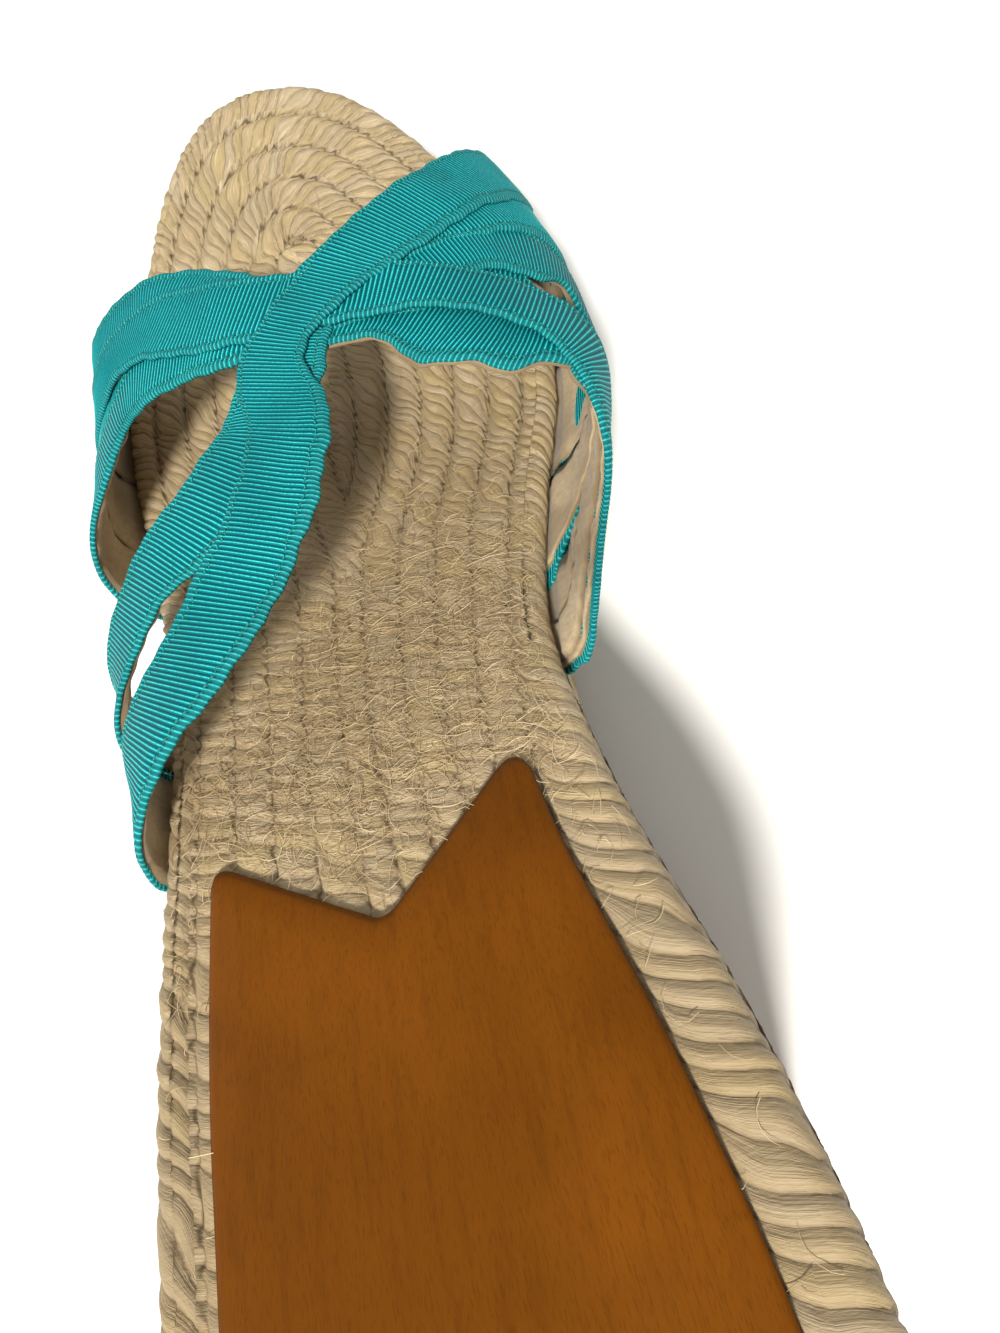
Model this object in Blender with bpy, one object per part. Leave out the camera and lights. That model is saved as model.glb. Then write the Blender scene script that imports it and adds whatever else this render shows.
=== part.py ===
"""A left espadrille wedge sandal, modelled in metres at its real size.

The toe points to +Y, the big toe's side is +X, and the shoe stands on the floor Z = 0.
From the floor up it has a rubber outsole, a wedge of stacked jute courses, a coiled jute
footbed, a leather heel sock, and an upper of six ribbons that cross over the vamp.
"""

import math
from collections import namedtuple

import bmesh
import bpy
import numpy as np

MM = 0.001

# Driving sizes of the shoe
FOOTBED_LENGTH = 246 * MM
BALL_WIDTH = 85 * MM
HEEL_HEIGHT = 80 * MM
INSTEP_HEIGHT = 30 * MM
FIT_GAP = 0.4 * MM

# Outsole and wedge
OUTSOLE_THICKNESS = 4 * MM
OUTSOLE_INSET = 0.8 * MM
TREAD_CHAMFER = 1.2 * MM
TOE_SPRING = 7 * MM
SPRING_START_SHARE = 0.76
COURSE_HEIGHT = 7.4 * MM
COURSE_BULGE = 1.5 * MM
CourseStep = namedtuple("CourseStep", "up sunk")
COURSE_PROFILE = [CourseStep(0.0, 1.0), CourseStep(0.22, 0.25), CourseStep(0.5, 0.0), CourseStep(0.78, 0.25)]

# Footbed of coiled rope
FOOTBED_THICKNESS = 8 * MM
EDGE_ANGLES = (-65.0, -28.0, 8.0, 45.0)
ROW_PITCH = 6.4 * MM
ROW_RELIEF = 0.8 * MM
ROW_COUNT = 5
CORE_ROWS = 0.4
SPINE_HEEL_INSET = 28 * MM
SPINE_TOE_INSET = 34 * MM

# Heel sock
SOCK_THICKNESS = 1.2 * MM
SOCK_EDGE_ROUND = 0.4 * MM
SOCK_MARGIN_MEDIAL = 7.5 * MM
SOCK_MARGIN_LATERAL = 8.0 * MM
SOCK_CORNER_RADIUS = 2.5 * MM

# Ribbons of the upper
RIBBON_WIDTH = 12.5 * MM
RIBBON_THICKNESS = 1.6 * MM
LAYER_STEP = 0.24 * MM
LAST_CLEARANCE = 0.5 * MM
CROWN_LEAN = 3 * MM
FOOT_DROP = 3.4 * MM
FOOT_TUCK = 1.0 * MM
FOOT_GIRTH = 8.0
FOOT_BLEND_GIRTH = 35.0
FOOT_LAYER_SHARE = 0.45

# How finely the curved forms are divided
OUTLINE_POINTS = 64
RIBBON_STEPS = 34
RIBBON_COLUMNS = 3
PATH_SAMPLES = 400
ARC_STEPS = 3
SHARP_ANGLE = 40.0

# Tables give a place along the shoe as a share of the footbed's length from the back of the heel.

# Half widths of the sole either side of its middle line, as shares of the ball width
SoleStation = namedtuple("SoleStation", "share medial lateral")
SOLE_PLAN = [
    SoleStation(0.06, 0.300, 0.295),
    SoleStation(0.14, 0.368, 0.378),
    SoleStation(0.25, 0.347, 0.397),
    SoleStation(0.36, 0.290, 0.411),
    SoleStation(0.46, 0.275, 0.421),
    SoleStation(0.56, 0.347, 0.459),
    SoleStation(0.66, 0.453, 0.500),
    SoleStation(0.74, 0.494, 0.506),
    SoleStation(0.82, 0.471, 0.459),
    SoleStation(0.90, 0.382, 0.347),
    SoleStation(0.96, 0.268, 0.230),
]

# Height of the footbed's top over the floor, as a share of the heel height
RiseStation = namedtuple("RiseStation", "share height")
FOOTBED_RISE = [
    RiseStation(0.00, 1.005),
    RiseStation(0.12, 0.988),
    RiseStation(0.25, 0.870),
    RiseStation(0.40, 0.645),
    RiseStation(0.55, 0.406),
    RiseStation(0.66, 0.281),
    RiseStation(0.74, 0.250),
    RiseStation(0.85, 0.262),
    RiseStation(0.93, 0.302),
    RiseStation(1.00, 0.366),
]

# Sections of the last under the ribbons: the crown over the footbed as a share of the instep
# height, how far each side stands past the edge of the sole, and how far each shoulder is
# drawn in half way up, in millimetres
LastSection = namedtuple("LastSection", "share crown medial lateral medial_shoulder lateral_shoulder")
LAST_SECTIONS = [
    LastSection(0.34, 0.33, 1.2, 0.0, 0.0, 0.0),
    LastSection(0.42, 0.50, 3.0, 0.1, 0.0, 0.0),
    LastSection(0.50, 0.70, 7.2, 0.9, 0.0, 0.0),
    LastSection(0.56, 0.87, 8.0, 1.0, 0.0, 0.0),
    LastSection(0.62, 0.97, 7.0, 0.6, 0.0, 0.6),
    LastSection(0.68, 1.00, 4.5, 0.3, 0.2, 1.8),
    LastSection(0.74, 1.00, 2.2, 0.3, 0.8, 2.8),
    LastSection(0.82, 0.90, 0.9, 0.3, 2.4, 2.8),
    LastSection(0.92, 0.70, 0.3, 0.3, 2.4, 2.0),
]

# The ribbons in the order they are joined, with their layer from the foot outwards and the knots
# their middle lines pass. A foot's number is how many times the ribbon's width it spreads along
# the sole. A knot's girth runs in degrees from 0 at the lateral edge of the sole over the crown
# at 90 to 180 at the medial edge.
Ribbon = namedtuple("Ribbon", "name layer lateral_foot medial_foot knots")
Knot = namedtuple("Knot", "share girth")
RIBBONS = [
    Ribbon("front_sweep", 0, 1.1, 1.0, [
        Knot(0.805, 0), Knot(0.785, 30), Knot(0.760, 59), Knot(0.720, 76), Knot(0.690, 89),
        Knot(0.660, 106), Knot(0.632, 120), Knot(0.631, 133), Knot(0.630, 145), Knot(0.610, 155),
        Knot(0.553, 165), Knot(0.455, 180),
    ]),
    Ribbon("middle_sweep", 4, 1.2, 1.6, [
        Knot(0.748, 0), Knot(0.744, 30), Knot(0.732, 58), Knot(0.707, 74), Knot(0.687, 90),
        Knot(0.671, 110), Knot(0.650, 125), Knot(0.624, 140), Knot(0.566, 158), Knot(0.453, 180),
    ]),
    Ribbon("inner_band", 1, 1.8, 2.2, [
        Knot(0.686, 0), Knot(0.718, 50), Knot(0.706, 70), Knot(0.687, 88), Knot(0.683, 108),
        Knot(0.671, 125), Knot(0.642, 141), Knot(0.592, 160), Knot(0.542, 180),
    ]),
    Ribbon("rear_band", 2, 1.4, 1.8, [
        Knot(0.628, 0), Knot(0.671, 36), Knot(0.702, 54), Knot(0.701, 70), Knot(0.686, 86),
        Knot(0.692, 105), Knot(0.707, 128), Knot(0.690, 150), Knot(0.638, 180),
    ]),
    Ribbon("top_diagonal", 5, 1.3, 1.2, [
        Knot(0.415, 0), Knot(0.431, 25), Knot(0.459, 52), Knot(0.508, 78), Knot(0.581, 88),
        Knot(0.650, 89), Knot(0.695, 99), Knot(0.728, 112), Knot(0.762, 128), Knot(0.798, 150),
        Knot(0.827, 180),
    ]),
    Ribbon("inner_diagonal", 3, 1.0, 1.2, [
        Knot(0.482, 0), Knot(0.498, 26), Knot(0.521, 43), Knot(0.545, 58), Knot(0.565, 73),
        Knot(0.598, 84), Knot(0.638, 89), Knot(0.683, 95), Knot(0.707, 104), Knot(0.728, 122),
        Knot(0.756, 150), Knot(0.772, 180),
    ]),
]

# Front edge of the heel sock from its lateral corner to its medial peak. The place across is
# from the sole's middle line, as a share of the ball width.
SockCorner = namedtuple("SockCorner", "share across")
SOCK_FRONT = [SockCorner(0.386, -0.312), SockCorner(0.330, -0.057), SockCorner(0.388, 0.166)]


def column(rows, field):
    """One named column of a table."""
    return np.array([getattr(row, field) for row in rows], float)


def smooth(x, xs, ys):
    """Cubic curve through the points (xs, ys), read at x."""
    xs, ys = np.asarray(xs, float), np.asarray(ys, float)
    gaps = np.diff(xs)
    slopes = np.diff(ys) / gaps
    inner = (slopes[:-1] * gaps[1:] + slopes[1:] * gaps[:-1]) / (gaps[1:] + gaps[:-1])
    tangents = np.concatenate([slopes[:1], inner, slopes[-1:]])
    x = np.clip(x, xs[0], xs[-1])
    i = np.clip(np.searchsorted(xs, x) - 1, 0, len(xs) - 2)
    u = (x - xs[i]) / gaps[i]
    return (
        (2 * u**3 - 3 * u**2 + 1) * ys[i]
        + (u**3 - 2 * u**2 + u) * gaps[i] * tangents[i]
        + (3 * u**2 - 2 * u**3) * ys[i + 1]
        + (u**3 - u**2) * gaps[i] * tangents[i + 1]
    )


def place(share):
    """Y of a share of the footbed's length."""
    return (np.asarray(share, float) - 0.5) * FOOTBED_LENGTH


def share_of(y):
    """Share of the footbed's length at y."""
    return np.clip(np.asarray(y, float) / FOOTBED_LENGTH + 0.5, 0.0, 1.0)


def half_widths(y):
    """Medial and lateral half widths of the sole at y. Both ends close as round arcs."""
    turn = np.arccos(1 - 2 * share_of(y))
    stops = np.concatenate([[0], np.arccos(1 - 2 * column(SOLE_PLAN, "share")), [math.pi]])
    widths = []
    for side in ("medial", "lateral"):
        shares = np.concatenate([[0], column(SOLE_PLAN, side), [0]])
        widths.append(BALL_WIDTH * smooth(turn, stops, shares))
    return widths


def footbed_top(y):
    """Height of the footbed's top at y."""
    stations = column(FOOTBED_RISE, "share")
    return HEEL_HEIGHT * smooth(share_of(y), stations, column(FOOTBED_RISE, "height"))


def floor_rise(y):
    """Height of the outsole's underside at y: flat, then rising to the toe."""
    past = (share_of(y) - SPRING_START_SHARE) / (1 - SPRING_START_SHARE)
    return TOE_SPRING * np.clip(past, 0, 1) ** 2


def sole_outline():
    """Closed outline in plan: heel, medial side, toe, lateral side."""
    half = OUTLINE_POINTS // 2
    y = -0.5 * FOOTBED_LENGTH * np.cos(np.linspace(0, math.pi, half + 1))
    medial, lateral = half_widths(y)
    right = np.stack([medial, y], 1)
    left = np.stack([-lateral, y], 1)
    return np.concatenate([right, left[-2:0:-1]])


def inset(outline, distance):
    """The outline moved inwards along its normals."""
    along = np.roll(outline, -1, 0) - np.roll(outline, 1, 0)
    along /= np.linalg.norm(along, axis=1, keepdims=True)
    inwards = np.stack([-along[:, 1], along[:, 0]], 1)
    return outline + inwards * np.reshape(distance, (-1, 1))


def raised(outline, height):
    """Points of an outline in plan at a height, or at one height for each point."""
    return np.column_stack([outline, np.broadcast_to(height, len(outline))])


def loft(rings):
    """Closed solid through rings of equal length, its ends closed by rungs from side to side."""
    count = len(rings[0])
    points = np.concatenate(rings)
    faces = []
    for level in range(len(rings) - 1):
        for i in range(count):
            j = (i + 1) % count
            low, high = level * count, (level + 1) * count
            faces.append((low + i, low + j, high + j, high + i))
    for start in (0, (len(rings) - 1) * count):
        for i in range(count // 2):
            rung = [start + i, start + i + 1, start + count - i - 1, start + (count - i) % count]
            faces.append(tuple(dict.fromkeys(rung)))
    return points, faces


def new_material(name, colour, roughness):
    material = bpy.data.materials.new(name)
    material.use_nodes = True
    shader = material.node_tree.nodes["Principled BSDF"]
    shader.inputs["Base Color"].default_value = (*colour, 1.0)
    shader.inputs["Roughness"].default_value = roughness
    shader.inputs["Metallic"].default_value = 0.0
    return material


def add_solid(name, points, faces, material, guide=False):
    """A mesh object with its faces pointing out. A guide only cuts or joins another piece."""
    mesh = bpy.data.meshes.new(name)
    mesh.from_pydata([tuple(p) for p in points], [], faces)
    work = bmesh.new()
    work.from_mesh(mesh)
    bmesh.ops.recalc_face_normals(work, faces=work.faces)
    work.to_mesh(mesh)
    work.free()
    mesh.shade_smooth()
    mesh.set_sharp_from_angle(angle=math.radians(SHARP_ANGLE))
    mesh.materials.append(material)
    piece = bpy.data.objects.new(name, mesh)
    bpy.context.scene.collection.objects.link(piece)
    if guide:
        piece.hide_render = True
        piece.display_type = "WIRE"
    return piece


def add_boolean(piece, other, operation):
    modifier = piece.modifiers.new(other.name, "BOOLEAN")
    modifier.operation = operation
    modifier.solver = "EXACT"
    modifier.object = other


def make_outsole(material):
    """Thin rubber sole, flat from the heel to the ball and sprung at the toe."""
    edge = inset(sole_outline(), OUTSOLE_INSET)
    tread = inset(edge, TREAD_CHAMFER)
    rings = [
        raised(tread, floor_rise(tread[:, 1])),
        raised(edge, floor_rise(edge[:, 1]) + TREAD_CHAMFER),
        raised(edge, floor_rise(edge[:, 1]) + OUTSOLE_THICKNESS),
    ]
    return add_solid("outsole", *loft(rings), material)


def prism(base, top):
    """Closed solid between two equal polygons."""
    count = len(base)
    faces = [tuple(range(count)), tuple(range(count, 2 * count))]
    for i in range(count):
        j = (i + 1) % count
        faces.append((i, j, count + j, count + i))
    return [*base, *top], faces


def make_wedge(material):
    """Level courses of jute, cut off along the slope under the footbed."""
    outline = sole_outline()
    base = floor_rise(outline[:, 1]) + OUTSOLE_THICKNESS + FIT_GAP
    rings = []
    for course in range(math.ceil(HEEL_HEIGHT / COURSE_HEIGHT)):
        for step in COURSE_PROFILE:
            loop = inset(outline, COURSE_BULGE * step.sunk)
            rings.append(raised(loop, base + COURSE_HEIGHT * (course + step.up)))
    wedge = add_solid("wedge", *loft(rings), material)

    stations = np.unique(np.round(outline[:, 1], 7))
    slope = footbed_top(stations) - FOOTBED_THICKNESS - FIT_GAP
    stations[0] -= FOOTBED_LENGTH
    stations[-1] += FOOTBED_LENGTH
    sky = 2 * HEEL_HEIGHT
    profile = [*zip(stations, slope), (stations[-1], sky), (stations[0], sky)]
    sides = [[(x, y, z) for y, z in profile] for x in (-BALL_WIDTH, BALL_WIDTH)]
    add_boolean(wedge, add_solid("wedge_slope", *prism(*sides), material, guide=True), "DIFFERENCE")
    return wedge


def spine_points(outline):
    """For each outline point, the point of the coil's middle line that it faces."""
    low = -FOOTBED_LENGTH / 2 + SPINE_HEEL_INSET
    high = FOOTBED_LENGTH / 2 - SPINE_TOE_INSET
    y = np.clip(outline[:, 1], low, high)
    medial, lateral = half_widths(y)
    return np.stack([(medial - lateral) / 2, y], 1)


def coil_loop(outline, row):
    """The outline drawn in by a number of rows of the coil. Rows thin out where the sole is narrow."""
    towards = spine_points(outline) - outline
    reach = np.linalg.norm(towards, axis=1, keepdims=True)
    pitch = np.minimum(ROW_PITCH, reach / (ROW_COUNT + CORE_ROWS))
    return outline + towards / reach * pitch * row


def make_footbed(material):
    """Coiled jute rope: a round edge, then rows that step in to the middle line."""
    outline = sole_outline()
    radius = FOOTBED_THICKNESS / 2
    rings = []
    for angle in np.radians(EDGE_ANGLES):
        loop = inset(outline, radius * (1 - math.cos(angle)))
        rings.append(raised(loop, footbed_top(loop[:, 1]) - radius + radius * math.sin(angle)))
    floor_loop = inset(outline, radius)
    rings.insert(0, raised(floor_loop, footbed_top(floor_loop[:, 1]) - FOOTBED_THICKNESS))
    for half_row in range(1, 2 * ROW_COUNT + 1):
        loop = coil_loop(outline, half_row / 2)
        sunk = ROW_RELIEF * (half_row % 2 == 0)
        rings.append(raised(loop, footbed_top(loop[:, 1]) - sunk))
    return add_solid("footbed", *loft(rings), material)


def rounded(corners, radius):
    """An open line with its inner corners replaced by short arcs."""
    corners = np.asarray(corners, float)
    line = [corners[0]]
    for before, at, after in zip(corners, corners[1:], corners[2:]):
        start = at + (before - at) * radius / np.linalg.norm(before - at)
        end = at + (after - at) * radius / np.linalg.norm(after - at)
        for u in np.linspace(0, 1, ARC_STEPS + 1):
            line.append((1 - u) ** 2 * start + 2 * u * (1 - u) * at + u**2 * end)
    line.append(corners[-1])
    return line


def make_sock(material):
    """Leather heel sock lying on the coil's rows, its front cut to two points and a notch."""
    outline = sole_outline()
    towards_medial = np.clip(0.5 + 2 * outline[:, 0] / BALL_WIDTH, 0, 1)
    margin = SOCK_MARGIN_LATERAL + (SOCK_MARGIN_MEDIAL - SOCK_MARGIN_LATERAL) * towards_medial
    edge = inset(outline, margin)
    crown = inset(edge, SOCK_EDGE_ROUND)
    rings = [
        raised(edge, footbed_top(edge[:, 1]) + FIT_GAP),
        raised(edge, footbed_top(edge[:, 1]) + FIT_GAP + SOCK_THICKNESS - SOCK_EDGE_ROUND),
        raised(crown, footbed_top(crown[:, 1]) + FIT_GAP + SOCK_THICKNESS),
    ]
    sock = add_solid("heel_sock", *loft(rings), material)

    corners = [(c.across * BALL_WIDTH, float(place(c.share))) for c in SOCK_FRONT]
    past_lateral = (-BALL_WIDTH, corners[0][1])
    past_medial = (BALL_WIDTH, corners[-1][1] + BALL_WIDTH)
    line = rounded([past_lateral, *corners, past_medial], SOCK_CORNER_RADIUS)
    plan = [*line, (BALL_WIDTH, FOOTBED_LENGTH), (-BALL_WIDTH, FOOTBED_LENGTH)]
    ends = [[(x, y, z) for x, y in plan] for z in (0, 2 * HEEL_HEIGHT)]
    add_boolean(sock, add_solid("sock_front", *prism(*ends), material, guide=True), "DIFFERENCE")
    return sock


def last_point(y, girth):
    """A point of the last. Girth runs from 0 at the lateral sole edge over the crown at 90 to
    180 at the medial edge, and a little past both ends it goes down and in under the footbed."""
    share = share_of(y)
    stations = column(LAST_SECTIONS, "share")
    base = footbed_top(y) - FOOTBED_THICKNESS / 2
    crown = INSTEP_HEIGHT * smooth(share, stations, column(LAST_SECTIONS, "crown")) + FOOTBED_THICKNESS / 2
    medial, lateral = (w + LAST_CLEARANCE for w in half_widths(y))
    middle = (medial - lateral) / 2
    half = (medial + lateral) / 2
    side = np.where(girth < 90, -1.0, 1.0)
    overhang = MM * np.where(
        girth < 90,
        smooth(share, stations, column(LAST_SECTIONS, "lateral")),
        smooth(share, stations, column(LAST_SECTIONS, "medial")),
    )
    up = np.minimum(girth, 180 - girth)
    below = np.clip(-up / FOOT_GIRTH, 0, 1)
    start = np.arccos(half / (half + overhang))
    angle = -start + (math.pi / 2 + start) * np.clip(up, 0, 90) / 90
    rise = crown / (1 + np.sin(start))
    lean = CROWN_LEAN * np.clip(np.sin(angle), 0, 1) ** 2
    medial_shoulder = smooth(share, stations, column(LAST_SECTIONS, "medial_shoulder"))
    lateral_shoulder = smooth(share, stations, column(LAST_SECTIONS, "lateral_shoulder"))
    shoulder = MM * np.where(girth < 90, lateral_shoulder, medial_shoulder)
    reach = (half + overhang) * np.cos(angle) - shoulder * np.sin(2 * np.clip(angle, 0, math.pi / 2))
    x = middle + side * reach + lean - side * FOOT_TUCK * below**2
    z = base + rise * (np.sin(angle) + np.sin(start)) - FOOT_DROP * below
    return np.stack([x, np.broadcast_to(y, np.shape(x)), z], -1)


def last_frame(y, girth):
    """The last's point, its outward normal, and its slopes along y and along the girth."""
    dy, dg = 0.2 * MM, 0.2
    along = (last_point(y + dy, girth) - last_point(y - dy, girth)) / (2 * dy)
    around = (last_point(y, girth + dg) - last_point(y, girth - dg)) / (2 * dg)
    normal = np.cross(around, along)
    normal /= np.linalg.norm(normal, axis=-1, keepdims=True)
    return last_point(y, girth), normal, along, around


def ribbon_path(ribbon):
    """Y and girth at even steps along the ribbon's middle line, with a foot at each end."""
    first, last = ribbon.knots[0], ribbon.knots[-1]
    knots = [Knot(first.share, -FOOT_GIRTH), *ribbon.knots, Knot(last.share, 180 + FOOT_GIRTH)]
    y, girth = place(column(knots, "share")), column(knots, "girth")
    hops = np.linalg.norm(np.diff(last_point(y, girth), axis=0), axis=1)
    travel = np.concatenate([[0], np.cumsum(hops)])
    fine = np.linspace(0, travel[-1], PATH_SAMPLES)
    fine_y, fine_girth = smooth(fine, travel, y), smooth(fine, travel, girth)
    hops = np.linalg.norm(np.diff(last_point(fine_y, fine_girth), axis=0), axis=1)
    travel = np.concatenate([[0], np.cumsum(hops)])
    even = np.linspace(0, travel[-1], RIBBON_STEPS + 1)
    return np.interp(even, travel, fine_y), np.interp(even, travel, fine_girth)


def ribbon_lines(ribbon):
    """Y and girth of the ribbon's points: steps along it by columns across it.

    Across the vamp the columns stand square to the path. Towards a foot they turn to lie along
    the edge of the sole, and the ribbon spreads to the foot's width.
    """
    y, girth = ribbon_path(ribbon)
    _, normal, along, around = last_frame(y, girth)
    forward = along * np.gradient(y)[:, None] + around * np.gradient(girth)[:, None]
    forward /= np.linalg.norm(forward, axis=1, keepdims=True)
    across = np.cross(normal, forward)
    length_y = np.linalg.norm(along, axis=1)
    length_g = np.linalg.norm(around, axis=1)
    step_y = (across * along).sum(1) / length_y**2
    step_g = (across * around).sum(1) / length_g**2
    foot = np.clip(1 - np.minimum(girth, 180 - girth) / FOOT_BLEND_GIRTH, 0, 1)
    foot = foot * foot * (3 - 2 * foot)
    spread = np.where(girth < 90, ribbon.lateral_foot, ribbon.medial_foot)
    step_y = step_y * (1 - foot) + np.sign(step_y[0]) * spread / length_y * foot
    step_g = step_g * (1 - foot)
    offsets = np.linspace(-0.5, 0.5, RIBBON_COLUMNS + 1) * RIBBON_WIDTH
    return y[:, None] + step_y[:, None] * offsets, girth[:, None] + step_g[:, None] * offsets


def make_ribbon(ribbon, material, guide):
    """One ribbon with its backing, as a wall of even thickness over the last."""
    y, girth = ribbon_lines(ribbon)
    point, normal, _, _ = last_frame(y, girth)
    up = np.clip(np.minimum(girth, 180 - girth) / FOOT_BLEND_GIRTH, 0, 1)
    lift = LAYER_STEP * ribbon.layer * (FOOT_LAYER_SHARE + (1 - FOOT_LAYER_SHARE) * up)
    inner = point + normal * lift[..., None]
    outer = inner + normal * RIBBON_THICKNESS
    rows, columns = y.shape
    points = np.concatenate([inner.reshape(-1, 3), outer.reshape(-1, 3)])
    skin = rows * columns
    faces = []
    for r in range(rows - 1):
        for c in range(columns - 1):
            a, b = r * columns + c, (r + 1) * columns + c
            faces.append((a, a + 1, b + 1, b))
            faces.append((skin + a, skin + b, skin + b + 1, skin + a + 1))
        for c in (0, columns - 1):
            a, b = r * columns + c, (r + 1) * columns + c
            faces.append((a, b, skin + b, skin + a))
    for r in (0, rows - 1):
        for c in range(columns - 1):
            a = r * columns + c
            faces.append((a, a + 1, skin + a + 1, skin + a))
    return add_solid("ribbon_" + ribbon.name, points, faces, material, guide=guide)


def make_upper(material):
    """All ribbons joined where they cross, as one open wall over the vamp."""
    first, *others = RIBBONS
    upper = make_ribbon(first, material, guide=False)
    upper.name = "upper"
    for ribbon in others:
        add_boolean(upper, make_ribbon(ribbon, material, guide=True), "UNION")
    return upper


def centre_on_origin(pieces):
    """Hangs the pieces on an empty that brings the middle of their box over the origin."""
    graph = bpy.context.evaluated_depsgraph_get()
    low, high = np.full(3, np.inf), np.full(3, -np.inf)
    for piece in pieces:
        points = np.array([v.co for v in piece.evaluated_get(graph).data.vertices])
        low, high = np.minimum(low, points.min(0)), np.maximum(high, points.max(0))
    holder = bpy.data.objects.new("sandal_frame", None)
    bpy.context.scene.collection.objects.link(holder)
    holder.location = (-(low[0] + high[0]) / 2, -(low[1] + high[1]) / 2, 0)
    for piece in bpy.context.scene.objects:
        if piece.type == "MESH":
            piece.parent = holder


def main():
    for item in list(bpy.data.objects):
        bpy.data.objects.remove(item, do_unlink=True)
    rubber = new_material("rubber", (0.42, 0.30, 0.17), 0.75)
    jute = new_material("jute", (0.60, 0.47, 0.28), 0.95)
    leather = new_material("leather", (0.28, 0.11, 0.02), 0.55)
    grosgrain = new_material("grosgrain", (0.02, 0.36, 0.37), 0.7)
    pieces = [
        make_outsole(rubber),
        make_wedge(jute),
        make_footbed(jute),
        make_sock(leather),
        make_upper(grosgrain),
    ]
    centre_on_origin(pieces)


main()
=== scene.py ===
"""Looks of a left espadrille wedge sandal: rope, leather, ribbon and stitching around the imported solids.

Sizes are in metres. The toe points to +Y, the big toe's side is +X and the floor is Z = 0.
"""

import math
from collections import namedtuple

import bmesh
import bpy
import numpy as np
from mathutils import Matrix, Vector


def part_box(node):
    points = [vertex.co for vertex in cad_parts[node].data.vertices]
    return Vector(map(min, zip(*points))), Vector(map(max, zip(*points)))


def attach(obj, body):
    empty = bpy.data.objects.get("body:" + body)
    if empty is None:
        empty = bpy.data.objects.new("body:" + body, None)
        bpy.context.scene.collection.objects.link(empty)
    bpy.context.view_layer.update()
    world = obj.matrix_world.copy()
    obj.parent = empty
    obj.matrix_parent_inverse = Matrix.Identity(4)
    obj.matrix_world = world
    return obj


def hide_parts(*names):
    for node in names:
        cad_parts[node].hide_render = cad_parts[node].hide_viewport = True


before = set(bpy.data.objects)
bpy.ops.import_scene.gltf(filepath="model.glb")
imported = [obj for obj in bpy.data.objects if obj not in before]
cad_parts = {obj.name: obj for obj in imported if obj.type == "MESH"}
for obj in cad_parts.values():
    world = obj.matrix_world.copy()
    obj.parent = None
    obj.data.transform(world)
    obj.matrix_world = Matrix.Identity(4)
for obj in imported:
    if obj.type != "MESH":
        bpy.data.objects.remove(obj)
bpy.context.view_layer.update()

MM = 0.001
TURN = 2 * math.pi

# Driving sizes, as in the solids
FOOTBED_LENGTH = 246 * MM
BALL_WIDTH = 85 * MM
HEEL_HEIGHT = 80 * MM
INSTEP_HEIGHT = 30 * MM
FIT_GAP = 0.4 * MM
OUTSOLE_THICKNESS = 4 * MM
OUTSOLE_INSET = 0.8 * MM
TOE_SPRING = 7 * MM
SPRING_START_SHARE = 0.76
COURSE_HEIGHT = 7.4 * MM
COURSE_BULGE = 1.5 * MM
FOOTBED_THICKNESS = 8 * MM
ROW_PITCH = 6.4 * MM
ROW_COUNT = 5
CORE_ROWS = 0.4
SPINE_HEEL_INSET = 28 * MM
SPINE_TOE_INSET = 34 * MM
SOCK_THICKNESS = 1.2 * MM
RIBBON_WIDTH = 12.5 * MM
LAST_CLEARANCE = 0.5 * MM
CROWN_LEAN = 3 * MM
FOOT_GIRTH = 8.0
FOOT_BLEND_GIRTH = 35.0

# Sizes refined for the looks: they differ a little from those of the solids or are not in them
SOCK_MARGIN_MEDIAL = 8.6 * MM
SOCK_MARGIN_LATERAL = 8.4 * MM
SOCK_HEEL_MARGIN = 7.6 * MM
FOOT_LAYER_SHARE = 0.05
WALL_LAYER_SHARE = 0.5
LAYER_BLEND_GIRTH = 60.0
FOOT_DROP = 3.7 * MM
FOOT_TUCK = 2.1 * MM

# How finely the pieces are divided. Points nearer than MERGE_DISTANCE become one.
MERGE_DISTANCE = 0.002 * MM
OUTLINE_SAMPLES = 3000
PERIMETER_HALF_POINTS = 800
BOX_HALF_POINTS = 400
PATH_SAMPLES = 3000
ROPE_SPACING = 0.52 * MM
WEDGE_SPACING = 0.62 * MM
ROW_STEPS = 9
CORE_STEPS = 12
EDGE_STEPS = 10
COURSE_STEPS = 8
RIB_SAMPLES = 3
SOCK_ROWS = 150
SOCK_COLUMNS = 96
OUTSOLE_HALF_POINTS = 700
OUTSOLE_RINGS = 40
OUTSOLE_ROUND_STEPS = 6
LINING_COLUMNS = 11

# Surface of the rope. A strand's phase counts strands along a row, from FIRST_PHASE on.
EDGE_START_ANGLE = -72.0
STRAND_LENGTH = 2.35 * MM
HEEL_STRAND_LENGTH = 3.1 * MM
WEDGE_STRAND_LENGTH = 2.6 * MM
HEEL_ROW_SWELL = 3.4 * MM
ROW_CREASE = 1.0 * MM
SPINE_CREASE = 0.2 * MM
STRAND_RELIEF = 0.5 * MM
WEDGE_STRAND_RELIEF = 0.8 * MM
STRAND_VARIETY = 0.35 * MM
WEDGE_STRAND_VARIETY = 0.2 * MM
STRAND_WANDER = 0.8
EDGE_LEAN = 2.2
COURSE_LEAN = 1.7
FIRST_PHASE = 40
STRAND_SWING = 0.07
UNDERSIDE_ACROSS = -0.6
HEEL_FLATTER = 0.45
HEEL_EDGE_FLATTER = -0.3
ROPE_SEED = 100
WEDGE_SEED = 300
# Length of each wave of a row's wander, and its height
ROW_WAVES = ((42 * MM, 0.45), (17 * MM, 0.35), (8 * MM, 0.2))

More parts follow.
